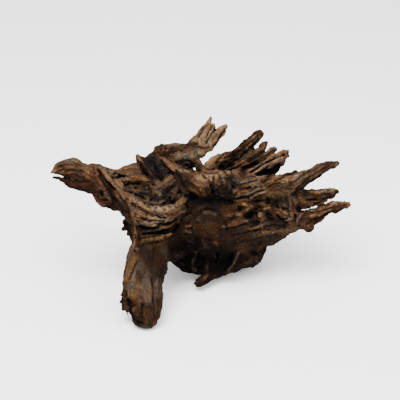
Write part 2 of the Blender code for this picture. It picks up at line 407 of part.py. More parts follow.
def grown_together(name, limbs, voxel):
    """One closed surface round all these limbs."""
    points, faces = [], []
    for limb in limbs:
        limb.loft(points, faces)
    made = mesh_object(name, points, faces)
    remesh(made, voxel)
    return made


def hollow_out(wood, hollows, voxel):
    cutter = grown_together("hollows", hollows, voxel)
    cut = wood.modifiers.new("hollow_out", "BOOLEAN")
    cut.operation = "DIFFERENCE"
    cut.solver = "MANIFOLD"
    cut.object = cutter
    apply_modifiers(wood)
    bpy.data.objects.remove(cutter)
    remesh(wood, voxel)


def noise(points, seed):
    """Smooth value noise between 0 and 1 on a unit lattice."""
    cell = np.floor(points).astype(np.int64)
    part = points - cell
    ease = part * part * (3 - 2 * part)
    total = np.zeros(len(points))
    for corner in range(8):
        step = np.array([corner & 1, corner >> 1 & 1, corner >> 2 & 1])
        key = ((cell + step) * np.array([73856093, 19349663, 83492791])).sum(1) + seed * 961748927
        key = (key ^ (key >> 13)) * 1274126177 & 0xFFFFFFFF
        key = (key ^ (key >> 16)) * 2246822519 & 0xFFFFFFFF
        value = (key >> 8 & 0xFFFF) / 65535.0
        total += value * np.where(step, ease, 1 - ease).prod(1)
    return total


class Field:
    """For each point of the surface: the limb that it belongs to and the next one, the place along and across
    each, and how far the fillet between the limbs stands out."""

    def __init__(self, points, limbs, blend):
        count = len(points)
        self.distance = np.full((2, count), 1e3)
        self.limb = np.zeros((2, count), int)
        self.place = np.zeros((2, count, 3))
        crowd = np.zeros(count)
        for number, limb in enumerate(limbs):
            margin = 6 * blend + limb.wide.max() + limb.deep.max()
            low, high = limb.centre.min(0) - margin, limb.centre.max(0) + margin
            near = np.nonzero(((points > low) & (points < high)).all(1))[0]
            if not len(near):
                continue
            distance, place = limb.measure(points[near])
            crowd[near] += np.exp(-np.maximum(distance, -blend) / blend)
            first = distance < self.distance[0, near]
            second = ~first & (distance < self.distance[1, near])
            for array, value in ((self.distance, distance), (self.limb, number), (self.place, place)):
                value = np.broadcast_to(value, (len(near),) + array.shape[2:])
                array[1, near[first]] = array[0, near[first]]
                array[0, near[first]] = value[first]
                array[1, near[second]] = value[second]
        self.share = 1 / (1 + np.exp((self.distance[0] - self.distance[1]) / blend))
        self.fillet = np.clip(blend * np.log(np.maximum(crowd, 1)), 0, MOST_FILLET * blend)
        self.fillet *= np.clip(1 + (self.distance[0] + 0.6) / 1.2, 0, 1)


def valley(values, shape):
    """A sharp groove, shape = (depth, width), wherever the values pass one half."""
    depth, width = shape
    return depth * np.exp(-((values - 0.5) / width) ** 2)


def relief(points, field, kinds):
    """How far the grain stands in or out at each point, in millimetres."""
    lumps = noise(points / LUMP, 11) - 0.5
    crumbs = noise(points / CRUMB, 13) - 0.5
    out = np.zeros(len(points))
    for rank, share in enumerate((field.share, 1 - field.share)):
        grain, pitch, rough = kinds[field.limb[rank]].T
        place = field.place[rank] / pitch[:, None]
        place[:, 2] /= GRAIN_LENGTH
        wander = noise(place * (0.35, 0.35, 0.7) + 17.0, 3)[:, None] - 0.5
        lines = noise(place + wander * 3.0, 5)
        splits = noise(place * (0.45, 0.45, 0.5) + wander, 7)
        worn = 0.55 * (lines - 0.5) - valley(lines, GROOVE) - valley(splits, CRACK)
        out += share * (grain * worn + rough * (1.1 * lumps + 0.7 * crumbs))
    return out


def clear_scene():
    for old in list(bpy.data.objects):
        bpy.data.objects.remove(old)


def points_of(made):
    flat = np.empty(len(made.data.vertices) * 3, np.float32)
    made.data.vertices.foreach_get("co", flat)
    return flat.reshape(-1, 3).astype(float) / MM


def normals_of(made):
    flat = np.empty(len(made.data.vertices) * 3, np.float32)
    made.data.vertex_normals.foreach_get("vector", flat)
    return flat.reshape(-1, 3).astype(float)


def move_points(made, points):
    made.data.vertices.foreach_set("co", (points * MM).astype(np.float32).ravel())
    made.data.update()


def decimate(made, triangles):
    thin = made.modifiers.new("thin_out", "DECIMATE")
    thin.use_collapse_triangulate = True
    made.data.calc_loop_triangles()
    thin.ratio = triangles / len(made.data.loop_triangles)
    apply_modifiers(made)


def lowest(points, around):
    """The lowest height, in millimetres, within SUPPORT_REACH of this layout place, seen from above."""
    place = to_world(np.array(around, float))
    away = np.linalg.norm(points[:, :2] - place[:2], axis=1)
    return points[away < SUPPORT_REACH, 2].min()


def stand_on_ground(made):
    """Wears the three low points flat at one level, and sets the origin under the middle of the box."""
    points = points_of(made)
    level = max(lowest(points, around) for around in SUPPORTS) + FLAT_SPOT
    bpy.ops.mesh.primitive_cube_add(size=1)
    ground = bpy.context.object
    ground.name = "ground_cutter"
    ground.scale = (2 * LENGTH * MM, 2 * LENGTH * MM, GROUND_DEPTH * MM)
    ground.location = (0, 0, (level - GROUND_DEPTH / 2) * MM)
    worn = made.modifiers.new("wear_flat", "BOOLEAN")
    worn.object = ground
    apply_modifiers(made)
    bpy.data.objects.remove(ground)
    points = points_of(made)
    middle = (points.min(0) + points.max(0)) / 2
    move_points(made, points - (middle[0], middle[1], level))


def wood_material():
    made = bpy.data.materials.new("ebony_wood")
    made.use_nodes = True
    shader = made.node_tree.nodes["Principled BSDF"]
    shader.inputs["Base Color"].default_value = WOOD_COLOUR
    shader.inputs["Roughness"].default_value = WOOD_ROUGHNESS
    shader.inputs["Metallic"].default_value = 0.0
    made.diffuse_color = WOOD_COLOUR
    return made


def main():
    clear_scene()
    limbs = [Limb(stations) for _, stations in LIMBS.values()]
    kinds = np.array([KINDS[kind] for kind, _ in LIMBS.values()])
    hollows = [Limb(stations) for stations in HOLLOWS.values()]
    wood = grown_together("ebony_trunk", limbs, UNION_VOXEL)
    hollow_out(wood, hollows, UNION_VOXEL)
    points = points_of(wood)
    field = Field(points, limbs, BLEND)
    move_points(wood, points + normals_of(wood) * (field.fillet + relief(points, field, kinds))[:, None])
    decimate(wood, TRIANGLES)
    stand_on_ground(wood)
    wood.data.shade_smooth()
    wood.data.materials.clear()
    wood.data.materials.append(wood_material())
    group = bpy.data.collections.new("ebony_trunk")
    bpy.context.scene.collection.children.link(group)
    bpy.context.scene.collection.objects.unlink(wood)
    group.objects.link(wood)


main()
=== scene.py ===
"""The looks of the ebony driftwood trunk: one grown piece of weathered root wood.

The wood is laid out in the plane that a viewer standing in front and a little above looks at. A station of a
limb gives how far right and how far up it lies in that plane and how near the viewer it is, with its half
width and half depth, all in millimetres. The limbs are grown together, hollowed, and given grain, cracks and
colour, with painted shade in grooves, hollows and the underside and pale wear with painted highlight on
ridges; marks, many of them painted shade, are then drawn on the face that the viewer sees. Limbs, hollows and
marks are text tables: the words that open a row say what it is, and its groups of numbers follow, with commas
between them.
"""

import math

import bpy
import numpy as np
from bpy.props import FloatProperty, FloatVectorProperty, IntProperty, PointerProperty
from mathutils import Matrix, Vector
from mathutils.bvhtree import BVHTree


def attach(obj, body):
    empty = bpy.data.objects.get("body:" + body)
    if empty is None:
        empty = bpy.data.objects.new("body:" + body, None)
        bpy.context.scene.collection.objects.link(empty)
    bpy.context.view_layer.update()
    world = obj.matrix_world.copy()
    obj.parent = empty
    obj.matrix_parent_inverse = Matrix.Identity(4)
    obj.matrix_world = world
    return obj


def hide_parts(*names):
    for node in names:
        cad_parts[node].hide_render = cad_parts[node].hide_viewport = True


bl_info = {
    "name": "Ebony Driftwood Trunk",
    "version": (1, 0, 0),
    "blender": (4, 5, 0),
    "location": "3D View > Sidebar > Driftwood",
    "description": "Grows a weathered piece of root wood and sets up a plain stage for it",
    "category": "Object",
}

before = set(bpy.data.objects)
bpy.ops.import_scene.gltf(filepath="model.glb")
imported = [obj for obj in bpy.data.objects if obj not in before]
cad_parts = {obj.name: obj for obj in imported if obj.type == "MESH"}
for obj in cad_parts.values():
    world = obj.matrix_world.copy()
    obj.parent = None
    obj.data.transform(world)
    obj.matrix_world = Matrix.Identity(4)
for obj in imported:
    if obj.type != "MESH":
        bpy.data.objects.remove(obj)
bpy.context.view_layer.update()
NODE = "ebony_trunk"

MM = 0.001
VIEW_TILT = math.radians(30.0)  # the layout plane leans back by this from upright
VIEWER = np.array([0.0, -math.cos(VIEW_TILT), math.sin(VIEW_TILT)])  # the way to the viewer
EYE = 1500.0  # the viewer's eye is this far from the layout plane
EYE_UP = 15.0
PICTURE = 400.0  # the viewer's picture is this wide in the layout plane
GROUND = -82.0
SHIFT = np.array([1.432, 14.906, 0.277])  # from the layout's middle on the ground to the origin

LOFT_SIDES = 28
STATION_STEP = 2.0
THINNEST = 0.6  # no half width or half depth is less
END_ON = 0.35  # a limb that points at the viewer more closely keeps the direction it had across
END_SWELL = (math.radians(40.0), math.radians(70.0))  # the rings that round off an end
BLEND = 2.1  # how softly one limb runs into the next
BLEND_REACH = 6.0  # a limb is measured out to this many times the blend from it
OUT_OF_REACH = 1e3
MOST_FILLET = 1.4
FILLET_FADE = (0.6, 1.2)  # a fillet starts to fade this deep inside a limb, and is gone so much deeper
CHUNK = 20000  # points measured at a time
LATTICE_PRIMES = np.array([73856093, 19349663, 83492791])
SEED_PRIME = 961748927

# the grain: (depth, width) of its grooves, and the size of the lumps between them
GRAIN_LENGTH = 11.0  # a grain line is this many times as long as the lines are apart
GRAIN_APART = 37.0  # keeps the colour grain of one limb clear of the next limb's
GROOVE = (0.6, 0.09)
CRACK = (1.1, 0.035)
HAIRLINE = (0.3, 0.12)
LUMP, CRUMB, GRIT = 6.5, 2.6, 1.3
# size, reach and seed of the sway that keeps limbs from being even tubes, and lines from being straight
LIMB_SWAY = ((16.0, 2.2, 41), (6.0, 1.3, 47))
LINE_SWAY = ((7.0, 1.6, 31), (2.6, 0.9, 37))

MARK_REACH = 2.6  # a mark has faded away this many half widths from its line
FAINTEST = 0.02  # marks don't reach points that the viewer sees less than this
MARK_COVER, MOST_COVER = 1.15, 0.92
GRAZING = 0.05  # a face seen more edge on than this counts as hidden
CLEARANCE = 0.5  # sight lines start this far off the wood
FAR = 400.0
EDGE_BLUR = 2  # rounds of averaging along the border of what the viewer sees
BLUR = 3  # and over the tint and the hollows
DISH_ROUNDS = (4, 24)  # rounds that even the surface out, to find fine and broad ridges
BROAD_PART = 0.35
SKY_RAYS, SKY_REACH, SKY_CLEARANCE, SKY_SPREAD = 14, 45.0, 0.35, 1.02

# noise along the grain: scale across and along a limb, and detail; and noise in the wood: scale and detail
FIBRES, THREADS, STREAKS = (0.5, 0.055, 4.0), (1.5, 0.13, 2.0), (0.2, 0.02, 3.0)
CLOUDS, MOTTLES, SPECKS = (40.0, 3.0), (150.0, 4.0), (480.0, 3.0)
WARMTH, PITS = (190.0, 3.0), (640.0, 2.0)
NOISE_ROUGHNESS = 0.55
# lightens ridges: worn pale wood and painted highlight
BLEACH_AND_HIGHLIGHT = (1.9, 1.85, 1.8, 1.0)
SHEEN = 0.02

FLOOR_SIZE, FLOOR_DROP, FLOOR_ROUGHNESS = 12.0, 0.0003, 0.9
LIGHTS = {"key_power": ((-0.25, -0.35, 1.1), 0.7), "fill_power": ((0.8, -0.3, 0.7), 0.5)}  # place and size
LIT_SPOT = Vector((0.0, 0.0, 0.06))
SENSOR = 36.0

# linear colours of the wood, and of the shade painted into it
FINISHES = {
    # near black: painted shade on the belly and its ribs, and in holes, cracks and slits
    "soot": (0.0018, 0.0013, 0.0011),
    # dark blue grey: painted shade in crevices, recesses and holes, and under the lobes
    "slate": (0.0066, 0.0054, 0.0053),
    "umber": (0.0092, 0.0049, 0.0030),
    "brown": (0.0218, 0.0108, 0.0056),
    "grey_brown": (0.0340, 0.0215, 0.0133),
    "tan": (0.0590, 0.0325, 0.0172),
    "grey_tan": (0.0640, 0.0462, 0.0310),
    "pale": (0.1040, 0.0670, 0.0380),
    "ochre": (0.0580, 0.0310, 0.0125),
    "honey": (0.0940, 0.0480, 0.0175),
    "rust": (0.0315, 0.0105, 0.0059),
    "russet": (0.0128, 0.0063, 0.0030),
    "chestnut": (0.0230, 0.0112, 0.0052),
    "amber": (0.0360, 0.0172, 0.0070),
    "dusk": (0.0128, 0.0078, 0.0051),
    "ash": (0.0500, 0.0335, 0.0220),
}

# how deep the grain is worn, how far apart its lines are and how crumbly the surface is, in millimetres, and
# how strongly the fibres show in the colour
KINDS = {
    "worn": (0.5, 4.2, 0.9, 0.5),
    "fine": (0.9, 2.6, 1.2, 0.8),
    "torn": (1.5, 3.2, 1.6, 1.1),
    "knotty": (0.6, 4.6, 2.1, 0.75),
    "rotten": (0.7, 3.2, 3.2, 1.0),
    "flaky": (1.0, 2.1, 2.3, 0.95),
    "stringy": (1.1, 2.8, 1.4, 1.1),
}


def table(text):
    """The words that open each row of a text table, and a list of numbers for each of the row's groups."""
    for row in text.strip().replace(",\n", ", ").splitlines():
        words, groups = row.split(":")
        yield words.split(), [[float(number) for number in group.split()] for group in groups.split(",")]


# each limb's name, finish and kind of grain; then right, up, near, half width and half depth of its
# stations. The limbs finished near black or dark blue grey, such as the belly and its ribs, under_lobe and
# top_dark, carry painted shade.
LIMBS = {name: (finish, kind, stations) for (name, finish, kind), stations in table("""
heart umber knotty: -38 4 -24 18 14, -20 6 -28 26 26, 8 10 -32 26 30, 36 12 -30 21 26, 62 14 -24 15 19,
82 14 -18 11 14
flank dusk knotty: -22 -8 -26 22 26, 2 -12 -28 29 34, 28 -13 -32 29 35, 52 -11 -34 25 31, 65 -9.4 -32 22.4 27,
76 -7 -30 18.6 23, 93 -4 -24 12 16
dome russet knotty: -17 -4 -14 12 14, 1 -9 -5 15 16, 20 -14 -10 13 13
belly soot knotty: -30 -26 -40 12.8 17, -13 -35.8 -42 19.2 17, 9 -40.2 -41 21.4 17, 32 -38 -43 19.8 17,
50 -33 -47 15.6 17
belly_rib_a soot stringy: -5 -28 -20 3 7, -7 -40 -26 2.8 7, -5 -54 -30 2.4 7
belly_rib_b soot stringy: 9 -28 -19 3.4 7, 8 -40 -26 3 7, 6 -55 -31 2.6 7
belly_rib_c soot stringy: 40 -30 -18 4 9, 34 -44 -28 3 8, 27 -57 -34 2.4 6
arch umber knotty: -50 -22 0 14 14, -36 -25 -16 17 18, -22 -28 -38 18 22
shoulder umber knotty: -37.4 -38.4 2 6 8, -31 -41 -3 5.4 8, -24 -40 -9 5.4 8
splinter umber torn: 16 -57 -36 5.6 6, 5 -63.6 -29 5.4 5.4, -1.8 -67.8 -25 4.6 4.6
back umber knotty: -34 16 -44 18 18, -4 8 -62 24 24, 34 2 -64 23 23, 66 4 -54 14 16
back_rib_a brown stringy: -58 34 -22 5 6, -34 38 -48 6 7, -2 36 -74 7 8, 36 28 -84 6 7, 70 18 -72 5 6,
92 12 -52 3 4
back_rib_b brown torn: -54 10 -26 5 7, -30 16 -60 7 8, 0 16 -86 8 8, 36 10 -90 7 7, 68 4 -72 5 6,
90 -2 -48 3 4
back_rib_c umber stringy: -42 -10 -30 5 7, -20 -8 -62 6 8, 10 -10 -86 7 8, 42 -14 -84 6 7, 68 -12 -62 4 5
back_knot brown knotty: 28 20 -84 9 8, 34 24 -95 5 5, 35 25 -99 3 3
back_flare grey_brown torn: -46 44 -30 6 7, -20 50 -46 7 7, 0 40 -57 5 6, 14 37 -66 3.4 3.6
back_root brown torn: -12 0 -66 17 17, -24 -15 -88 11 12, -30 -29 -103 7.5 8
side_root brown torn: 40 -22 -56 14 16, 50 -37 -68 10 12, 54 -43.5 -74 8 9
leg grey_brown worn: -48 -18 0 15 14, -50.5 -34 6 18.6 14.5, -54.5 -50 12 19.6 14, -57.7 -65 18 18.6 13,
-58.3 -75 22 17.8 12.5, -56.6 -84 24 17.6 12, -54.8 -92 27 16.2 11, -54.8 -100 30 15 9.5,
-55.4 -105.5 31 12.2 8
neck brown stringy: -112 38 5 10 9, -96 32 4 14 11, -84 27 0 17 11, -68 22 -10 18 9
head tan fine: -148 43 8 1.8 2, -143.5 44.8 8 4.4 4, -137 47.4 8 7.4 7, -129 47.6 7 9.8 9, -118 43 6 9.6 10,
-104 36.4 5 11 10, -94 30.6 4 12 11
jaw umber fine: -146.5 37.2 8 1.5 2, -141 36.8 8 2.1 3, -135 36 7 4.4 4.6, -128 33 7 5.8 6, -119 30 6 6.6 7,
-107 27.5 5 6.2 8
wattle umber rotten: -102.6 26 6 3.6 5, -101.2 16.8 7 5 7, -97.6 14.8 7 5.4 6.5, -90 12 5 4.6 6,
-83 9.4 2 4.9 5
neck_strand_a grey_brown stringy: -108 49 5 2.4 3, -104 43 10 2.6 4, -100 33 13 2.8 4, -95 24 13 2.6 4,
-91 16 11 2.2 4
neck_strand_b tan flaky: -103 47 6 2.4 3, -94 38.5 12 2.8 4, -87 29 15 3.2 4, -80 20 15 3.4 5, -74 9 13 3.4 5,
-69 -2 11 3.4 5, -65 -14 11 3.4 5, -63 -27 11 4.2 6, -66 -42 12 3.6 6
neck_strand_c brown stringy: -90 16 6 3 4, -77.4 7.2 7 3 5, -68.6 -4.6 6 2.8 5, -65 -16 5 3 4
arch_root dusk knotty: -66 4 0 4.6 7, -61 -10 2 8 9, -59 -22 4 9 10
bowl_floor umber rotten: -84 28 -10 8 6, -70 24 -14 14 9, -54 21 -16 19 11, -36 20 -17 20 12, -20 20 -17 17 13
bowl_wall slate stringy: -24 40 -1 3.4 5, -18.5 33 1 3.4 5, -15.5 22 3 3 5
bowl_fill_c umber stringy: -69 2 7 4 6, -53 -5 11 4.4 7, -36 -5.4 9 4.4 7, -22 0 4 4 6
bowl_fill_b umber stringy: -77 16 7 4 6, -66 5 10 5 7.5, -52 1.5 12 5 8, -36 1 10 5 8, -22 6 4 5 7
bowl_fill_a grey_brown rotten: -80 26 -2 7 8, -68 22 0 11 9, -54 19 0 12 9, -40 19 -1 12 9, -27 22 -2 9 9
bowl_base grey_tan flaky: -74 10 0 6 9, -56 3 -1 9 12, -36 1 -4 9 12, -24 4 -8 7 12
bowl_floor_lump slate rotten: -60 24 -4 4 4, -50 22 -5 5 5, -40 16 -5 5 5
bowl_strand_a grey_brown stringy: -46 27.4 4 1.6 4, -38 31 5 1.9 4, -30 37 3 1.9 5
bowl_strand_b umber rotten: -34 12 4 2.4 4, -26 20 4 2.4 4, -20 31 2 2.4 5
upper_neck tan fine: -98 40.4 4 3.2 5, -82 40.6 4 5.6 7, -68 42.6 2 8.8 8, -56 43.4 -3 9 8
bowl_ledge tan flaky: -94 41 9 3 3, -80 36 9 3.4 4, -65 36.5 8 3.4 4, -50 34.5 6 4 5, -37 30 4 4 5,
-27 32 2 3.5 5
bowl_rim_a grey_tan flaky: -88 40 12 2.8 3, -81 30 13 3.4 4, -75 20 13 4.4 5, -64 10.5 13 5 6, -50 5 13 5.2 7,
-35 4.5 11 4.8 7, -23.6 8.6 6 3.8 7, -16 17 1 3 6, -14 28 -2 2.6 5
bowl_rim_b grey_tan flaky: -82 22 9 3 4, -70 5.5 12 5 6, -53 -1.5 14 5.4 7, -35 -2.5 12 5 7, -19 3.5 6 4 7
bowl_rim_c grey_tan flaky: -77 12 6 3 4, -66 -2 10 4.4 6, -52 -8 14 3.6 7, -37 -7.5 12 3.4 7, -24 -2 6 3 6
bowl_lip brown flaky: -58 -15.5 8 2 4, -45 -14.5 10 2.4 5, -32 -13 8 2.4 5, -23 -7 3 2.2 5
ledge_ochre ochre rotten: -61 -27.4 12 1.8 3.4, -54 -25.4 14 2.6 4.2, -47 -24.6 15 1.9 4,
-39 -22.4 13 2.6 4.4, -30 -19 10 1.6 4
leg_strand_a dusk worn: -42 -42 17 2.4 3, -44 -60 22 3 3.4, -45 -78 28 3 3.4, -45 -97 31 2.6 3
leg_strand_b umber rotten: -35.6 -44 10 2.8 4.4, -38.2 -58 16 3 4, -41 -71 20 2 4, -42 -79 22 1.5 4,
-41.4 -87 25 2.2 4, -44 -99 28 2.3 3, -47.2 -106 29 2.4 3
leg_strand_c ochre rotten: -66 -42 13 2.4 3, -70.5 -54 18 2.8 3.4, -73 -66 22 2.2 3
leg_toe brown worn: -60 -86 33 4 5, -60.5 -96 35 3.6 5, -58 -103 35 2.8 4
leg_bark umber rotten: -73 -73 23 2.5 4, -73.4 -84 27 2.8 4.6, -72.6 -91 29 2.8 4, -71 -95 30 2 3
hanging_bark brown rotten: -66 -4 2 3 4, -69.4 -12 3 3.6 4, -66.4 -17 3 3 3.6
rag_h soot rotten: -71.6 -94 29 1.8 3, -73.6 -99.4 30 1 1.1
rag_i umber rotten: -73 -64 20 2 3, -77.8 -68.6 21 1 1.2
rag_g soot rotten: -73 -90 28 2.2 3, -77.2 -95 28 1.6 1.5
rag_f umber rotten: -74 -84 26 2 3, -78.8 -86.8 27 1.2 1.4
rag_e umber rotten: -74 -76 24 2 3, -79 -80.2 25 1.3 1.4
rag_d umber rotten: -66 -16 3 2 2.4, -67.6 -21.4 3 1 1
rag_c umber rotten: -68 -14 3 2 2.4, -72 -18.4 3 1.1 1.2
rag_b umber rotten: -70 -9 2 2.6 2.4, -77 -14.4 2 1.8 1.6
rag_a umber rotten: -70 -4 2 2.6 2.4, -75 -6.8 2 1.5 1.6
top_dark slate rotten: -48 53 -11 7 9, -41 46.5 -6 10 10, -34 41 -4 9.5 10, -29 35 -5 7 9
fin_fill slate rotten: -55 52 -1 5 6, -48 45 1 6 7, -41 38 0 5 7
fin umber torn: -62.5 59 4 2 2.5, -59 54 6 4 5, -52 46.5 7 4.6 6, -46 38.5 5 4.4 6, -41 33.5 3 2.6 4
top_plate grey_tan fine: -48 56.6 -18 6.4 5, -41 58 -18 8.8 6, -35 59.4 -18 10.8 7, -27 60.2 -19 12.4 7,
-18 60 -19 12 7, -9 61.5 -21 10.6 7, -2 69 -23 9.3 6.5
plate_rough brown rotten: -43 57 -12 6 5, -34 56.5 -11 8 6, -25 58 -12 6 5
plate_nub_a umber rotten: -44 62 -17 3 4, -44 66.6 -18 2 3, -43.6 68.8 -19 1.4 2
plate_nub_b umber rotten: -39 64 -17 2.4 4, -39 67.6 -18.6 1.8 3, -38.6 69.8 -19.4 1.4 2
plate_back umber knotty: -44 44 -26 10 10, -26 46 -32 12 10, -11 46 -36 9 9, -5 42 -34 5 7
plate_ridge tan stringy: -43 60 -9 2.2 3, -36 54 -2 3 5, -28 47 3 3.2 6, -21 42 4 3.4 6, -15 38 3 3 6
branch pale torn: -3.4 64.4 -22 9.6 7, 4.4 72.2 -24 9.6 6.5, 10 79.2 -26 8 5
branch_tip_a pale fine: -1 74 -24 3.8 4, 5.6 85.4 -27 3.2 3, 10.8 96.4 -30 1.5 1.4
branch_tip_b pale fine: 5 76 -25 4.4 4, 10.5 83.5 -27 4.2 3, 13.4 88 -28 3.2 2.4
branch_tip_c pale fine: 9 69 -24 5.6 4, 17.8 79.6 -26 5.2 3.8, 22.6 85.6 -28 4.2 3.2, 25.4 89 -29 2.2 2
hole_rim tan fine: -26 49.4 -6 3 4, -18 43 -2 2.8 4, -8 41.4 -2 2.6 4, -3 37 -2 3 4
eye_floor slate rotten: -20 51 -14 6 5, -10 51 -14 6 5
hole_bridge soot rotten: -6 57 -16 4 5, -2 50 -14 2.8 3, -0.5 42 -10 2.4 3, -1 36 -6 3 4
hole_fill umber rotten: -7 56 -11 4.4 5, -3 51.4 -9 3.4 4.4, -1 47 -8 3 4
lobe brown fine: -20 43 -6 5.6 7, -11 38 2 8 9, -3 30 6 9 10, 3 24 5 6.5 7
pale_lobe pale fine: -4 33 0 5 6, 5 38 1 6 7, 15 38.5 0 6 7, 26 40 -3 5.4 6
under_lobe slate rotten: 4 28 -5 8 8, 14 26 -8 10 10, 28 26 -8 10 9
lobe_fill umber rotten: 3 27 -1 9 9, 16 27 0 10 9, 30 26 -1 10 9, 42 27 -4 8 9
lobe_lump_c umber rotten: 35 35 3 4 4, 38 29 2 4 4
lobe_lump_b umber rotten: 12 35 5 4.6 4, 15 27 6 4.2 4
lobe_lump_a tan rotten: 2 36 4 5 4.6, 7 29.6 6 5 4.6
knuckle_a brown rotten: 21 39 -1 3 4, 21.6 31 1.6 3.2 4, 19 25 0 2.6 3
knuckle_b brown rotten: 27 38 -2 3 4, 28.6 31 0.6 3 4, 29 25 -1 2.6 3
hump tan fine: 4 44 -8 3 5, 11 51 -11 5.2 6, 19 55.5 -13 5.4 6, 27 56 -15 4.4 6
crown_base umber knotty: 8 40 -16 9 10, 24 46 -21 11 11, 42 48 -22 12 10, 60 50 -22 9 8
prong_a brown torn: 20 51.4 -18 5.8 7, 33 60 -22 6.2 7, 45 67.7 -28 6.4 6.4, 53.2 75 -34 6.6 6,
58 80.3 -38 6 5, 59.6 81.8 -39 5.3 4.4
prong_b brown torn: 33 49.4 -15 3.4 5, 46 57 -22 3.4 4.4, 58.4 63.5 -28 4.2 4.2, 64.7 71.4 -33 3.7 3.6
prong_b_side brown stringy: 30 48 -9 2 3, 44 55 -14 2 3, 55 62 -22 1.4 2
prong_d brown torn: 44 49 -15 4.8 6, 57 56 -20 5.2 5, 67.6 61.6 -25 4.6 4.6, 74 66 -28 3 2.6
prong_c tan torn: 36 40 -8 5 6, 55 48 -8 4 6, 70 56 -12 4.2 5.4, 80 59.8 -16 4.7 5.2, 84.6 61.4 -18 5.2 5
prong_c_rib pale stringy: 40 36 -4 3 4, 55 42.5 -3 2.2 5, 68 50 -7 2.2 5, 80 56.6 -12 2.2 4
prong_c_under umber torn: 48 36.5 -16 5 6, 64 42 -18 6 6, 75.8 47.8 -16 5.6 5, 80.8 54 -17 3.7 4
prong_c_lump grey_brown fine: 66 45 -12 3 4, 72 49.6 -11 4.2 5, 77 52.6 -13 3.4 4
pale_plate pale fine: 34 31 -3 6.4 8, 50 31 -3 6.8 8, 64 34 -6 5.6 7, 74 36.5 -10 3.4 5
long_prong grey_brown stringy: 40 20 -6 6 10, 60 24 -4 8 11, 80 28 -4 10 11, 95 31.6 -6 9 9,
105 36.6 -8 8 7.6, 114 41 -11 6.8 6.4, 121.5 46 -14 6.6 5.6, 128 49 -16 5.4 4.8, 134 50.8 -18 4 3.8,
136.8 51.4 -19 3.2 3
long_hump ochre rotten: 64 30 2 3 5, 74 34.5 4 4.6 6, 84 34.5 3 3.6 5, 90 32 1 2 4
long_under ochre stringy: 36 16 -3 2.6 6, 52 20 0 2.6 6, 68 23 1 3 5, 84 20 0 3 5
long_rib grey_brown stringy: 80 30 4 1.6 3, 92 31.6 1 1.6 3, 106 38 -5 1.4 2.4
twig umber rotten: 78 37 -8 3.2 3.4, 86 39.8 -9 2.6 2.8, 92 42 -10 2.3 2.4, 96.8 44.2 -11 1.8 1.8
web grey_brown stringy: 82 22 -3 9 7, 88 10 -7 10 8, 93 -3 -13 9 8
web_fill umber knotty: 92 27 -12 8 8, 98 15 -16 8 8, 99 2.8 -15 7.6 8
mid_prong brown torn: 90 15.4 -16 9 9, 104 15.2 -22 10.9 8, 112 16.6 -25 9.8 7.4, 120 18.4 -29 8 6.6,
128 21 -32 6.2 5.4, 134 23.2 -35 4.4 4, 136.6 23.6 -36 3 3
low_prong tan torn: 88 -8 -18 9 10, 103 -4 -16 8.4 8.4, 112 -1.6 -15 8.6 7.6, 120 3.4 -14 8.3 7,
128 7 -13 7.2 6.4, 136 8.2 -12 5.8 5.6, 142 8.9 -11.5 5 4.4, 148 9.8 -11 3.2 2.8
knob brown fine: 103 -6 -12 5 5, 109.4 -11.8 -8 6.6 5.4
flank_knob pale fine: 60 -2 -6 3.2 4, 61 -0.5 1 3 3
flank_ridge_a dusk stringy: 20 -13 0 2.4 3, 34 -8 0 2.4 4, 46 -5 -2 2 3
flank_ridge_b brown rotten: 24 8 -8 3.4 4, 40 11 -6 4.6 5, 54 9 -7 3.6 4, 66 12 -8 3 3
flank_crag brown rotten: 66 4 -7 4 4, 76 2 -8 5 4, 87 -2 -10 3.4 4
flank_ridge_c dusk stringy: 44 -14 -4 3 3, 64 -9 -9 3 4, 84 -6 -15 2.6 3
flank_ridge_d brown stringy: 4 6 -7 2 4, 22 -1 -3 2.4 4, 40 2 -4 2 4, 50 8 -6 1.6 3
flank_ridge_e umber stringy: -12 -18 -5 3 5, 10 -25 -3 2.6 5, 36 -24 -7 2.6 5, 60 -18 -13 2.4 4
right_lump umber rotten: 36 -37 -50 10 14, 52 -42 -52 9.5 12
right_knob brown rotten: 50 -36 -36 5 6, 55 -42 -40 5.4 6
back_prong_up brown torn: 14 30 -48 10 11, 34 48 -72 6.6 6.5, 43 57 -86 4 4.2, 49 61 -96 2 2.4
back_prong_up_side grey_brown stringy: 26 38 -62 5 6, 42 48 -80 3.2 3.4, 51 51 -92 1.6 1.8
back_prong_out brown torn: 54 14 -50 11 12, 84 18 -70 6.4 6.6, 98 19 -80 4.2 4.4, 108 20 -88 1.8 2.2
back_prong_out_side grey_brown stringy: 70 20 -60 5 5, 90 26 -74 3.2 3.4, 102 32 -82 1.4 1.6
back_stub brown torn: -26 34 -40 12 12, -36 41 -64 7.5 7, -40 45 -78 4.6 4.4
""")}

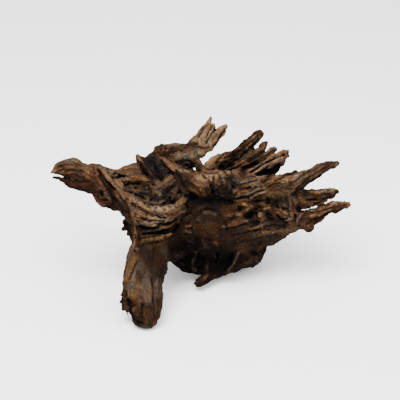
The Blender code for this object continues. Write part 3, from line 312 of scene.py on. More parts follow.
# the same numbers for what has rotted or split away
HOLLOWS = {name: stations for (name,), stations in table("""
beak_slit: -152 40.2 8 1.8 14, -146 39.7 8 1.6 14, -140 39 8 1.4 14, -135.6 38.2 8 1.1 14
eye: -13.6 49.6 14 7 5.5, -13.6 49.6 -4 6.2 4.9, -14 49.4 -8 4.6 3.4
pin_hole: -4.6 45.6 14 2.8 2.8, -4.6 45.4 -84 2.8 2.8
tip_cleft_a: 10 93 -22 0.9 4, 5 84 -20 0.9 4, 0 75 -18 0.7 3
tip_cleft_b: 17.4 90 -24 1.1 4, 12.5 81 -20 1 4, 6 72 -17 0.7 3
wattle_cleft: -108 21.5 14 1.1 8, -100 23.5 16 1.2 8, -92 24 15 0.8 6
long_crevice: -13 20 9 1.4 4, -1 15 8 3.2 5, 15 14 6 3.6 5, 32 15.6 5 2.4 4, 50 20 7 1.2 4, 61 23 8 0.9 3
rim_crevice: -60 -12 20 1 5, -50 -12.6 22 1.3 7, -40 -12 20 1.3 7, -27 -8 12 1 6
rim_slot: -57 -18.6 18 1.2 7, -48 -19.4 20 2 10, -38 -17.8 18 1.9 9, -28 -13.6 12 1.2 6
knot_hole: 49 1.5 12 3.8 4.8, 49.4 1.8 -3 3.2 4, 50 2.4 -8 1.8 2.4
knot_dent: 57 -8 10 4.4 3.4, 57 -8 -3 2.8 2
crag_dent: 70 9 8 3.4 2.4, 70 8 -12 2.4 1.8
fork_hole: 95.4 -2 2 2 4.2, 95.4 -2.6 -5 1.6 3
fork_gap: 95 21 8 1 6, 98 25 8 1.6 8, 104 28 4 1.3 7
neck_eye: -86 41 12 1 4, -81 39.4 12 1.8 7, -74 38 10 1 5
neck_split: -101 43 15 1 6, -93 33 18 1.9 9, -86 24 19 1.5 7, -82 18 18 0.9 5
toe_split: -57 -88 44 0.7 5, -57.6 -95 44 1.2 6, -58.4 -105 42 1 6
leg_groove_a: -47.4 -58 28 0.6 4, -47.6 -72 34 0.9 6, -46.6 -88 40 1 7, -46 -104 42 0.8 5
leg_groove_b: -41.4 -56 22 0.6 4, -42 -70 27 0.8 5, -42 -86 32 0.8 5, -43 -98 33 0.6 4
ridge_split: -42 51 4 1 5, -34 45 8 1.2 7, -27 39 10 1.2 7, -22 32 8 1.1 6
under_prong_a: 18 47 -4 2.2 6, 28 50 -6 3.8 9, 39 57.5 -12 2.6 8, 47 63 -19 1.4 6
under_prong_b: 44 63.5 -18 0.8 6, 51 66.6 -24 0.7 7, 55.6 69.4 -28 0.3 8, 59.4 73.2 -32 0.9 10,
64.4 78.6 -36 1.4 10
under_prong_d: 42 47.5 -8 2 6, 51 49.5 -8 3 8, 62 55 -12 1.8 7, 70 60 -18 1.2 6
under_prong_c: 56 40 -6 2 5, 64 43 -7 3 7, 69.6 46 -9 2.2 6
lobe_cleft: 10 31 12 1.4 5, 12 24 12 2 6, 14 15 10 1.6 6
back_hollow: -8 25 -104 8 9, 0 19 -88 7 7, 6 15 -76 4 4
back_crack: -30 27 -66 1.6 10, 2 26 -92 2.4 12, 38 19 -98 2 11, 68 11 -82 1.4 8
back_split: -26 4 -70 1.6 10, 6 3 -98 2.4 12, 40 -2 -100 2 10, 66 -4 -78 1.4 8
lobe_pit: 33 31 14 3 4, 34 27 5 2.4 3
belly_dip_a: -2 -33 -14 2 5, -3 -46 -21 2 5
belly_dip_b: 19 -33 -14 3 6, 15 -47 -23 2.4 5
prong_notch: 101.6 4.4 -14 1.9 26, 106 5.2 -14 1.9 26, 110.6 6.6 -15 1.5 26, 115.4 8.6 -17 0.9 26,
120.6 11 -19 0.9 26, 127 13.6 -21 0.9 26
""")}

# what the viewer sees drawn on the wood, the later over the earlier: its finish (bare leaves the colour);
# then half width, height (a groove's is below 0), and right and up of each point of the mark's line. The near
# black and dark blue grey marks are painted shade in grooves, holes and crevices, under the lobes and on the
# belly.
MARKS = [
    (finish, wide, height, np.reshape(line, (-1, 2)))
    for (finish,), marks in table("""
brown: 5 0 -39 65 -28 65, 4 0 -29 1 -22 -1, 4 0 -102 37 -95 31, 3 0 -75 -47 -77 -69
tan: 4 0 -70 39 -59 37, 3 0 53 16 62 11, 4 0 -90 31 -84 25, 4 0 -126 54 -112 47
ash: 4 0 -22 60 -12 64, 3 0 -16 50.5 -12 49.5, 3 0 113 38 118 42
umber: 5 0 3 -7 15 -9, 3 0 96 8 100 3, 4 0 -136 37 -122 32 -108 29
grey_brown: 3.4 0 -16 27 -10 23, 3.4 0 8 29 14 26, 4 0 54 13 62 11, 3 0 -10 9 2 9
brown: 4 0 43 39 48 34, 4 0 -126 38 -110 35, 1.6 -0.5 -142 48 -136 50 -128 51 -120 50
slate: 2.6 0 99 9 104 8.5, 5 0 -49 -35 -42 -45 -40 -55
grey_tan: 3 0 58 74 64 67, 5 0 -66 -57 -64 -77
umber: 7 0 -48 -33 -42 -47 -38 -63, 5 0 -56 -35 -50 -49, 6 0 6 -9 18 -11 24 -21, 5 0 -72 -88 -66 -97 -62 -107
tan: 3 0 5 63 0 55, 3 0 44 58 56 65
pale: 4 0 78 37 90 38 98 37, 3 0 4 59 -1 65
tan: 3 0 114 41 120 45, 3 0 77 50 82 54, 2.5 0 62 70 70 67
brown: 4 0 -16 39 -10 35, 4 0 122 45 134 52
soot: 5 0 12 -31 32 -32, 1.1 -1 -140 49 -139 48
bare: 0.9 -0.6 -136 52 -128 54 -120 52
umber: 4 0 26 -59 34 -55, 5 0 4 -55 -3 -67
dusk: 3 0 -66 4 -60 1
brown: 3.5 0 -67 3 -60 -3, 0.8 -0.7 -144 43 -136 45.5 -125 44 -116 41
grey_tan: 4 0 -69 28 -54 28 -42 24 -38 15, 2.4 0.3 -134 54 -124 55
ash: 3 0 115 7 124 9
brown: 4 0 101 5 108 -2, 4 0 89 16 92 5, 4 0 -78 17 -72 9
pale: 2.6 0 112 0 124 5 134 9
tan: 3 0 112 15 122 17, 4 0 103 17 110 13, 3 0 103 29 96 31
brown: 4 0 80 3 84 -2, 3 0 118 -1 134 5 144 9
grey_brown: 4 0 -46 -79 -43 -93
soot: 9 0 -24 -39 -10 -47, 11 0 2 -46 22 -47, 8 0 29 -36 26 -49, 7 0 -20 -28 -1 -30 22 -33, 4 0 -4 -69 6 -63
umber: 6 0 42 -48 56 -44, 4 0 28 -32 46 -34 62 -30, 4 0 5 -58 -1 -66,
0.8 -0.7 -135 43 -126 45.5 -117 43.5 -110 39
chestnut: 5 0 -102 15 -96 19, 2.6 0 43 -35 47 -38
dusk: 5 0 -82 11 -74 3 -70 -9, 3 0 116 -4 130 2 144 7
brown: 2.2 0 38 -32 44 -30, 2 0 46 -47 52 -45
chestnut: 2 0 59 -35 62 -32, 2 0 52 -42 56 -43
soot: 3.5 0 6 -34 24 -34, 2 -1.7 52 -37 56 -39
russet: 8 0 4 -17 18 -11, 4 0 -4 -11 -4 -21
umber: 6 0 30 -21 22 -26 8 -27, 4 0 -8 3 -3 -5, 4 0 21 -5 22 -17, 0.8 -0.6 -134 40 -126 41 -118 37 -110 34,
1.2 -0.9 -135 37 -128 34.5 -120 34 -112 34
grey_brown: 5 0 -58 25 -48 19, 1 1.6 38 -38 35 -45 31 -52 28 -56
amber: 5 0 29 5 38 0 45 -6, 4 0 6 39 18 37
umber: 5 0 -4 -1 6 -5, 6 0 -34 -28 -20 -23, 5 0 -16 7 -6 10, 8 0 -52 -33 -44 -47, 5 0 -40 -47 -36 -61,
6 0 -66 -23 -60 -35, 1.6 -1.4 41 -47 46 -43
rust: 1.5 -0.5 -128 30 -118 31 -108 31, 1.2 0.9 -42 69.5 -43 66
grey_brown: 5 0 58 -18 70 -16 86 -13
dusk: 4 0 -48 -55 -42 -61, 4 0 68 -7 86 -7
umber: 3 0 -38 -47 -36 -60 -38 -75, 2.2 0 -122 28 -110 27
grey_brown: 6 0 -60 -63 -58 -83
umber: 5 0 -51 -93 -53 -106
dusk: 5 0 -52 -69 -51 -85
umber: 4 0 -66 -89 -63 -101 -58 -107
dusk: 3 0 -42 -70 -40 -85 -43 -101
slate: 4 0 32 35 30 21
pale: 3 0 6 51 12 57, 2 0 114 24 124 25 133 25.5
dusk: 4 0 8 25 22 21
slate: 4 0 -6 14 14 12 32 15, 1.8 0 0 -3 3 -5
soot: 3 0 4 18 22 19 32 23, 1.8 -2.2 32 -38 31 -47 26 -53
tan: 4 0 48 33 58 33, 2 0.3 -115 45 -112 37
brown: 4 0 42 45 46 37, 4 0 38 17 50 19, 4 0 94 -7 106 -5
grey_tan: 1.2 0.4 -146 44 -140 46.5
soot: 0.7 -1 -139 39.2 -135 38 -130 37
rust: 1.6 0.9 -106 48 -104.5 40 -102.5 34 -99 29 -95 25
soot: 1.1 -2 -102.5 46 -99 40.5 -94 35 -89 30 -85.5 25
umber: 1 -1.1 -101 39 -97 33 -92 27 -88 23, 1 -1.4 96 26 103 32 110 38 118 43 126 48
grey_tan: 1.7 1 -101 47 -97 44 -93 39 -89.5 34 -86 30
tan: 2 1.2 -86 31 -82 25 -77 19 -72 13 -68.5 7 -67 0 -65 -7
umber: 0.9 -1.1 -84 25 -79 18 -74 12 -71 5 -70 -2, 1.6 -2.2 -87 38.5 -83 38 -79 38
soot: 1.2 -1.6 -102 18 -99 15 -94 15, 1.2 -1.6 -98.5 23 -97.5 20.5,
0.9 -1.2 -79 38.5 -75 39.5 -71.5 37 -68 35.5
rust: 2.2 0.6 -103 16 -100 12 -94 11
slate: 2 -0.3 -90 23 -87 17 -80 12
soot: 1.2 -1.2 -92 9 -89 7
umber: 2.5 0 -88 15 -80 9 -74 4
brown: 0.8 -0.9 -88 41.5 -80 43 -72 45 -65 46.5
tan: 2.4 0 -82 45 -72 47 -64 49, 2 0.6 -77 34.5 -70 35 -60 35.5 -51 35 -45 32
umber: 1 -1 -76 30 -70 31 -63 32.5 -56 33.5 -50 33 -44.5 29
brown: 2 0.6 -75 27 -66 28 -56 28 -49 26
umber: 1.1 -1.5 -76 24.5 -70 23 -64 21 -59 18.5 -54.5 16
tan: 1.8 0.8 -83 28 -78 23 -72 19 -65 17 -59 13.5 -53 9.5, 1.1 0.8 -50 29 -43 27.5 -37 30.5 -32 34.5 -28 38
soot: 1 -1.8 -60 22 -53 21, 1.5 -2 -48.5 15.5 -45 15.5, 0.8 -0.9 -65 27 -63.4 26.5
slate: 2 0 -48 19 -42 16 -35 18
umber: 1.4 -1 -37 16 -32 22 -28 27 -25 32, 1.2 -0.8 -52 29 -48 25 -50 19
slate: 2.4 -0.4 -37 21 -30 29, 1.4 -1 -35 22 -32 24
soot: 1.6 -2 -37 11 -33 13.5 -30 18, 0.8 -0.9 -57 29 -55.4 28.5, 0.7 -0.9 -52 26 -50.4 25.5,
1.3 -1.2 -60 50 -56 43 -51 36.5 -46 33
pale: 2.4 0.8 -69 16.5 -61 11.5 -52 7.5 -42 5.5 -32 6.5 -27 9
soot: 0.7 -0.9 -71 23 -69.4 22.5, 0.8 -0.9 -64 19 -62.4 18.5, 0.7 -0.9 -74 16 -72.4 15.5,
0.9 -0.9 -44 20 -42.4 19.5
tan: 2 0.4 -26 10 -19 18 -16 25, 1.4 0.5 -62.5 59 -59 55
rust: 1 -1.4 -68 11 -60 6.5 -53 3 -46 0 -40 -2 -34 -3
tan: 1.3 0.9 -55 5.5 -48 3 -40 2 -30 2.5 -23 5, 1.7 0.7 -66 5 -59 0 -51 -2.8
soot: 0.7 -0.9 -57 12 -55.4 11.5, 0.8 -0.9 -53 9 -51.4 8.5, 0.6 -0.9 -48.5 10.5 -46.9 10,
0.8 -0.9 -45 7 -43.4 6.5, 0.7 -0.9 -40 9 -38.4 8.5, 0.7 -0.9 -61 8 -59.4 7.5, 0.6 -0.9 -64 11.5 -62.4 11,
0.8 -0.9 -36 16 -34.4 15.5, 0.7 -0.9 -50 14 -48.4 13.5
grey_tan: 1.7 0.7 -51 -2.8 -43 -3.8 -35 -4.5
umber: 0.9 -1.4 -59 -2.5 -51 -5 -43 -6 -36 -6
tan: 1.9 0.5 -62 -2 -59 -7 -53 -10
grey_tan: 1.9 0.5 -53 -10 -47 -10 -40 -7.5
soot: 1.3 -2.6 -60 -11 -54 -13 -48 -13.5 -43 -13 -40 -10 -34 -9.5 -28 -8 -23 -4, 0.9 -1.8 -42 -9 -37 -8,
0.8 -0.9 -54 0.5 -52.4 0, 0.7 -0.9 -48 -1 -46.4 -1.5, 0.8 -0.9 -42 -1.5 -40.4 -2, 0.7 -0.9 -66 1 -64.4 0.5
ochre: 1 0.9 -40 -13 -34 -12 -29 -11.5, 1.3 0 47 69 52 75 56 79
soot: 1.8 -3.4 -56 -19 -50 -17 -42 -17.5 -35 -16.5 -30 -15 -24 -11, 0.7 -0.9 -57 -4 -55.4 -4.5,
0.8 -0.9 -51 -6.5 -49.4 -7, 0.7 -0.9 -45 -8 -43.4 -8.5, 0.8 -0.9 -63 -6 -61.4 -6.5
slate: 0.9 1.2 -54 -20.5 -49 -19.5 -44 -20
grey_tan: 0.6 1.4 -53 -16.5 -46 -16 -39 -14.5
tan: 0.6 1.2 -40 -11.5 -32 -11 -26 -8
ochre: 1.7 0.5 -60 -26.5 -52 -24.5 -44 -23 -36 -21 -29 -19
umber: 0.6 -0.5 -55 -23.5 -53.5 -27.5, 0.6 -0.5 -47 -22 -45 -25, 0.8 -1.1 43 67 50 73 57 78
soot: 0.6 -0.6 -51 -24 -50 -25, 1.4 -1.6 50 68 55 72 59 76
brown: 1 -0.8 -36 -18 -35 -23, 0.9 0.6 -58 54 -53 47 -48 39
umber: 0.6 -0.9 -60 -24 -50 -22.2 -40 -20 -30 -17, 1.3 -0.6 -59 52 -53 43 -47 36, 0.8 -1.1 40 69 48 77 56 83
slate: 1.6 -0.3 -55 52 -49 43 -44 36, 3 0.6 -48 55 -44 47
soot: 1.5 -1.6 -45 48 -42 43, 1.3 -1.6 -43 39 -38 36
brown: 2.6 0.4 -54 -30.5 -44 -28.5 -34 -26
ochre: 1 0.5 -41 65 -37 66, 2.6 0.5 -66 -44 -69 -50 -71.5 -57 -73.5 -64
umber: 1.2 -1.4 -47 62 -42 63, 0.9 -1.4 -62 -46 -65 -52 -68 -58 -71 -64
russet: 1.4 0.7 -52 -33.5 -42 -32.5 -34 -31
umber: 1 -1.3 -57 -30 -50 -28.5 -42 -27
dusk: 3 0 -61 -58 -60 -62, 3.6 0 -54 -39 -48 -43
ash: 5 0 -54 -67 -52 -83, 3.4 0 -43 -67 -42 -79
dusk: 2.6 0 -46 -53 -43 -59
umber: 4 0 -48 -43 -42 -49, 0.7 -0.9 -41 -60 -41.5 -70 -42 -79, 0.8 -1.4 -65 -36 -61 -33.5 -58 -31
grey_brown: 2 0.5 100 35 112 42 124 49, 3.5 0.2 -63 -71 -57 -71
grey_tan: 1.6 0 -62 -70 -59 -72, 1.2 0.9 -66 -32 -62 -34
rust: 1.6 0.9 -30 -3 -25 -0.5 -20 2.5
soot: 1.5 -1.8 -17 0 -13 1.5 -9 3, 0.8 -0.9 -36 6 -34.4 5.5, 0.7 -0.9 -37 -2.5 -35.4 -3,
0.7 -0.9 -34 2 -32.4 1.5, 0.8 -0.9 -29 0 -27.4 -0.5
ochre: 2 0.4 -20 12 -17 16, 3.4 0.1 -70 -78 -65 -82
slate: 2.6 -0.6 -23 43 -19 33 -16 25 -14 17, 2 1.1 -38 48 -34 43
soot: 0.7 -0.9 -31 8.5 -29.4 8, 0.7 -0.9 -27 12 -25.4 11.5, 0.7 -0.9 -24 8 -22.4 7.5,
0.9 -0.9 -29 22 -27.4 21.5, 1 -1.3 -48 53 -45 51
umber: 0.8 -1.2 -48 -62 -47.5 -72 -47 -82 -46 -92 -46 -101, 0.9 -1.2 -76 -75 -73 -77 -74 -82
grey_brown: 1.5 0.5 -17 20 -15 16
chestnut: 3.4 0 -23 66.5 -7 68
umber: 1.1 -0.9 -19 64.5 -18 63.5, 1.4 -0.9 -36 63 -30 64 -31 60, 1 -0.8 -28 68 -23 66 -18 64,
3 0 -38 61 -28 63
soot: 0.7 -0.8 -40 66 -38.5 65.5, 0.8 -0.8 -35 67.5 -34 66, 2.6 -0.6 -77 -85 -73 -88 -69 -90
russet: 3 0 -44 -41 -40 -48, 2.4 0 -76 -79 -75 -90 -72 -96
soot: 1.2 -1.6 -72 -85 -69 -88 -67 -91, 1 -0.9 -68.5 -95 -67 -101
grey_tan: 3.2 0 -22 58 -5 60
umber: 3 0 -13 71.5 -6 70.5, 1.3 -1 -39 54 -35 49 -30 44 -24 41 -19 40, 0.9 -0.8 -32 63 -30 62.5,
1 -1.5 8 91 3 84 -1 78, 0.9 -1.8 16 88 12 82 8 76 7 72, 0.8 -1.1 12 89 9 84 6 78
brown: 1 -0.8 -20 69 -12 71, 0.9 -1.1 20 84 16 78 12 73, 0.8 -1.1 -43 -85 -42 -95 -44 -105
soot: 0.7 -0.8 -28 66.5 -27 65.5, 0.7 -0.8 -37 61 -35.5 60.5, 1.2 -0.6 25 86 20 78 14 69
tan: 1.4 1.3 -36 55 -30 51 -24 47 -19 44, 0.8 0.7 -34 64.5 -32 65.5, 1.6 0.7 -67 -15 -66 -25 -67 -33
umber: 0.8 -0.7 -25 63 -23 63.5, 0.8 -0.6 -16 68.5 -14 67, 0.9 -1.4 -64 -11 -61 -19 -60 -25,
0.9 -1.4 -69 -7 -67 -17 -69 -29
soot: 1 -1.2 -19 53 -14 54.5 -9 53 -7 49, 1.2 -2 -75 -7 -73 -15
slate: 3 -0.6 -16 50 -11 50, 1.6 -0.9 -10 18 -2 15.5 7 14.5 16 14.5 26 15.5
rust: 0.8 0.6 -39 63 -37.5 64, 1.4 0.4 -68 -89 -64 -87
pale: 1.3 0.7 7 87 2 79 -1 73, 1.2 0.7 22 87 16 80 12 74
umber: 1.5 -0.7 -2 68 4 67 9 68, 1 -0.9 -5 72 -3 71, 0.8 -0.9 5 89 1 84, 1.2 -1.1 29 15.5 38 16.5 46 18 54 21,
1 1 -76 -5 -77 -13
grey_brown: 1.2 0.3 -16 49 -13 49
grey_tan: 1.2 1.1 -22 46 -16 44 -10 43
soot: 0.9 -1.2 -8 48 -6 43, 1 -0.6 -9 50 -9.5 45, 1.2 0 -1 51 -0.5 43, 1.4 -2 -15 19 -10 19.5 -6 18
amber: 2.6 0.5 -10 25.5 -5 24 2 23.5
slate: 2 -1.1 -14 35 -12 30, 1.3 -1.2 -57.5 -90 -58 -95
tan: 0.8 0.6 -29 60.5 -26 60
umber: 1.8 -1.6 -9 30 -6 28
pale: 3.4 0.3 -1 38 6 36 17 39, 1.6 0.4 8 39 16 40.5
tan: 1.8 0.3 -3 31 4 30
umber: 1.2 -1.4 6 26 7 21, 1.2 -1 -4 26 0 23
soot: 1.2 -1.8 3 38.5 4.5 37
slate: 2 -1 12 30 14 23
umber: 1.6 -0.5 23 35 22 28 20 22
slate: 1.8 -0.6 26 37 28 31 26 23
tan: 1.3 0.4 24 38 25 32
brown: 1.4 0.4 29.5 35 29 27, 1.3 -0.8 8 34 11 32
slate: 2 -0.8 31 38 33 33 32 27, 1.4 -0.8 35 31 37 25
rust: 0.9 -0.9 5 47 8 45 13 43
brown: 1 -1.1 1 44 7 42 14 41 18 43
umber: 1.1 -1.2 13 37 14 33, 0.9 -1 18 41 20 37
soot: 1.3 -1.4 11 29 13 24, 1.2 -1.4 16 25 19 21
tan: 1.2 0.8 16 34 19 30, 1 0.8 33 23 38 25
pale: 1.4 0.9 7 51 13 57 20 61
umber: 1.1 -1.6 16 50 18 56 23 60
grey_tan: 1 0.8 21 41 23 35
umber: 1 -1.2 25 43 28 40
tan: 1.4 0.8 28 43 34 45
rust: 1.2 -0.5 1 22 6 21
soot: 2.4 -2.2 21 47 26 52 31 55 35 58
slate: 1.8 -1.6 22 46 28 46 34 50
grey_tan: 0.7 1.4 22 46 29 49.5 36 53
soot: 1.4 -2.1 25 57 31 60 38 61, 1.2 -1.9 33 63 39 64 44 65
umber: 0.9 -1.2 46 58 54 64 62 71
rust: 1.2 0.5 56 63 62 68 65 73
slate: 2 -2.1 43 58 50 59 55 62
soot: 1.5 -2.1 50 55 57 59 62 63
grey_tan: 1.2 0.5 64 61 70 65 74 68
umber: 0.8 -1.1 62 57 68 61 73 66
soot: 2.4 -2 43 45 50 49 57 52
slate: 1.2 0 47 48 52 50
grey_tan: 0.7 1.4 49 44 56 48 63 52 70 56 77 60
soot: 1 -2.1 52 43 60 49 68 54 76 58
ochre: 1.3 0.5 79 61.5 85 63, 1.3 0.5 -65 -93 -66 -96
grey_tan: 0.7 1.3 52 41 60 45.5 67 50 73 54
soot: 0.9 -1.9 56 41 64 46 71 51
ochre: 0.7 1.2 55 39.5 63 43.5 70 48
russet: 1.6 -1.2 61 41 67 44, 1.5 0 -63 -21 -59 -29
soot: 1.1 -1.2 74 49.5 76 50, 2.2 -0.6 70 42 78 45, 2.4 -2.6 68 40 74 45 79 50, 1.3 -1.6 -71 -10 -69 -20
tan: 1 0.9 68 56.5 75 60 82 63
umber: 1 -1.6 68 53 76 57 84 60, 1.3 -1.2 -59 -99 -57 -104
grey_brown: 1.2 0.5 75 53 80 55, 2.2 0 43 56.5 49 60
grey_tan: 3 0.4 72 52 79 53, 2.5 0.3 44 33 54 34 62 36
tan: 1.8 0.3 52 61.5 59 65.5
grey_tan: 1.6 0.3 57 72 61 76
umber: 0.8 -1.1 40 30 48 32 56 35
rust: 1.3 -1.1 40 25 46 27 50 28
ochre: 1.3 0.4 39 22 46 24
umber: 0.9 -1.3 50 25 57 28
brown: 2.2 -0.5 62 35 68 37
soot: 1 -1.4 62 32 68 35
grey_tan: 0.9 1.3 36 18 46 21 56 24 64 26
soot: 0.9 -1.9 40 15.5 50 18.5 56 22 64 24.5
grey_tan: 1 1.1 50 17.5 58 21 66 23.5
soot: 0.9 -1.8 54 16 62 19.5 68 21
ochre: 2.6 0.5 70 33 77 35 83 36, 3.2 0.3 40 13 46 10 48 7
honey: 1.2 0.3 43 12 46 11.5
umber: 0.9 -1.4 68 27 74 31 80 33, 0.8 -1.1 75 34 81 37 84 39, 0.8 -1 90 31 100 38 110 44, 2 0 94 43 84 39,
1 -0.7 38 10 40 7
ochre: 1.5 0.4 67 20 71 21 74 17
soot: 1.1 -1.8 66 18 69 15, 0.8 -1 41 9 47 7.5
chestnut: 1.3 -0.7 70 25 75 27, 1.4 0.2 110 43 118 47
soot: 1.4 -0.8 105 30 115 36 125 42, 1.3 -1.8 92 20 97 24.5 103 27.5
slate: 3 0 78 15 86 16
grey_brown: 2.5 0.6 85 24 90 19
umber: 2 -0.9 100 7 104 9
slate: 2 -0.6 104 19 108 21
pale: 2.4 0.5 112 23 122 24 132 25
umber: 1.2 -1.5 106 15 114 16 122 17
rust: 1.3 0 112 16 117 18
umber: 0.9 -1.1 110 21 120 19 130 22, 1.3 -0.7 122 15 130 19
soot: 1.4 -2.1 115 7 121 10 128 11
tan: 1.8 0.6 112 0 122 4 134 9
ochre: 1.5 0.4 116 -1 124 3
umber: 0.8 -1.1 108 1 116 4 126 6 138 9, 0.9 -1.3 110 -5 120 -2 130 3, 1.2 -0.5 114 -8 122 -4 134 2 144 6
brown: 2 0 108 -13 111 -12, 2.5 0.4 30 7 36 5
umber: 0.9 -1.1 106 -9 111 -7
grey_brown: 1.2 0.5 88 25 90 15 90 5 92 -3
umber: 0.8 -0.7 86 19 88 9 88 1, 0.7 -0.6 92.5 15 93.5 7
grey_brown: 1.2 0.4 96 15 97 7 98 2
umber: 1.6 -1.2 95.5 -1 95 -6
grey_tan: 0.8 0.9 101 1 99 -4 96.5 -8
soot: 2 -2.8 98 8 100 5, 2.6 -1.6 47 -1 51 2 55 5.5
slate: 1.6 0 50 2 52 4
soot: 1.6 -2 48 -3 52 -1
slate: 2.6 -1.6 50 -7 56 -8, 1.8 -0.8 55 -7 58 -6
tan: 2.6 1 60.5 1 62 -2, 1.2 1.1 24 -12 32 -10 40 -8 48 -5.5
pale: 1.2 0.4 60.5 1 61 0
soot: 0.9 -1.8 57 1 57 -3 60 -4
tan: 1 1.3 55 4 62 5 68 7 73 9
umber: 1.4 -1.8 56 9 62 7.5, 0.9 -1.1 26 -14 36 -12 46 -9
ochre: 1.2 0.9 62 8 68 9 71 12
soot: 1.2 -1.8 66 13 71 12
slate: 2.5 -0.5 56 15 62 16
umber: 1.4 -1.7 73 10 76 14 77 8
soot: 1.6 -2.4 68 2 70 -1
slate: 2.4 -1.1 66 1 72 -4
ochre: 1.2 0.9 78 3 81 1 85 -2
soot: 1 -2 77 0 81 -4 87 -4
tan: 1.2 1.1 76 7 82 4 87 1
grey_tan: 1.2 0.9 85 -5 90 -4
umber: 1.3 -1.7 82 7 87 6, 1 -1.1 76 -7 86 -7
slate: 2 -0.5 75 -11 86 -10
chestnut: 2.4 0.3 28 -7 36 -8 42 -7
umber: 2.2 -0.7 26 -7 31 -4 34 -1
ochre: 1.6 0.4 38 1 42 -1
brown: 2 0.4 31 1 36 3
umber: 1.5 -1.2 -5 1 3 5 10 6 16 4 22 -1 26 -7 27 -15, 0.8 -1 32 -21 44 -18 56 -15 70 -14,
0.8 -0.9 40 -27 52 -25 64 -22 76 -19
grey_brown: 1.2 0.5 4 3 10 3.5 15 1
chestnut: 4 0 6 -10 13 -16
russet: 3 0 0 -15 -2 -21, 2.4 0.2 -65 -101 -60 -98
ochre: 1 0.9 -14 -11 -10 -10
soot: 0.9 -1.4 -13 -13.5 -9 -13, 0.8 -1.3 -14 -8 -11 -7, 1.6 -1.1 -69 -98 -66 -104
brown: 1.6 0 17 -21 14 -28, 1.4 0.9 14 -26 17 -30
tan: 1.3 0.7 -16 -16 -10 -17, 1 0.5 62 -18 74 -16 86 -15
umber: 0.8 -0.8 -15 -19 -8 -20, 0.9 -1 64 -12 74 -10 84 -12
tan: 1 0.5 50 -14 62 -11
soot: 3 -1.6 -3 -25 -3 -33
umber: 1.6 0.6 -2 -35 -6 -43 -8 -51 -5 -56
chestnut: 1.5 0.7 3 -26 5 -30, 1.7 0.5 1 -64 8 -59.5, 3 0.2 -52 -96 -51 -104
soot: 1.5 -1.4 -64 -106 -58 -108
brown: 2 0 -55 -105 -53 -108
umber: 2 0 -46 -104 -49 -109
""")
    for wide, height, *line in marks
]


def unit(vectors):
    return vectors / np.maximum(np.linalg.norm(vectors, axis=-1, keepdims=True), 1e-9)


def to_world(layout):
    """Layout points, in millimetres right, up and near, as upright points in millimetres above the ground."""
    near = layout[..., 2]
    spread = 1 - near / EYE
    right = layout[..., 0] * spread
    up = EYE_UP + (layout[..., 1] - EYE_UP) * spread
    back = up * math.sin(VIEW_TILT) - near * math.cos(VIEW_TILT)
    height = up * math.cos(VIEW_TILT) + near * math.sin(VIEW_TILT) - GROUND
    return np.stack([right, back, height], axis=-1)


def to_layout(points):
    """The way back: right, up and near of upright points."""
    height = points[:, 2] + GROUND
    near = height * math.sin(VIEW_TILT) - points[:, 1] * math.cos(VIEW_TILT)
    up = height * math.cos(VIEW_TILT) + points[:, 1] * math.sin(VIEW_TILT)
    spread = 1 - near / EYE
    return np.stack([points[:, 0] / spread, EYE_UP + (up - EYE_UP) / spread, near], axis=-1)


def smooth_line(stations):
    """The stations joined by a Catmull-Rom curve and sampled about every STATION_STEP."""
    given = np.array(stations, float)
    ends = np.vstack([2 * given[0] - given[1], given, 2 * given[-1] - given[-2]])
    out = []
    for i in range(1, len(ends) - 2):
        before, here, after, beyond = ends[i - 1:i + 3]
        count = max(2, int(np.linalg.norm((after - here)[:3]) / STATION_STEP))
        for t in np.arange(count) / count:
            bend = 2 * before - 5 * here + 4 * after - beyond
            twist = 3 * here - before - 3 * after + beyond
            out.append(here + 0.5 * ((after - before) * t + bend * t ** 2 + twist * t ** 3))
    out.append(given[-1])
    line = np.array(out)
    line[:, 3:] = np.maximum(line[:, 3:], THINNEST)
    return line


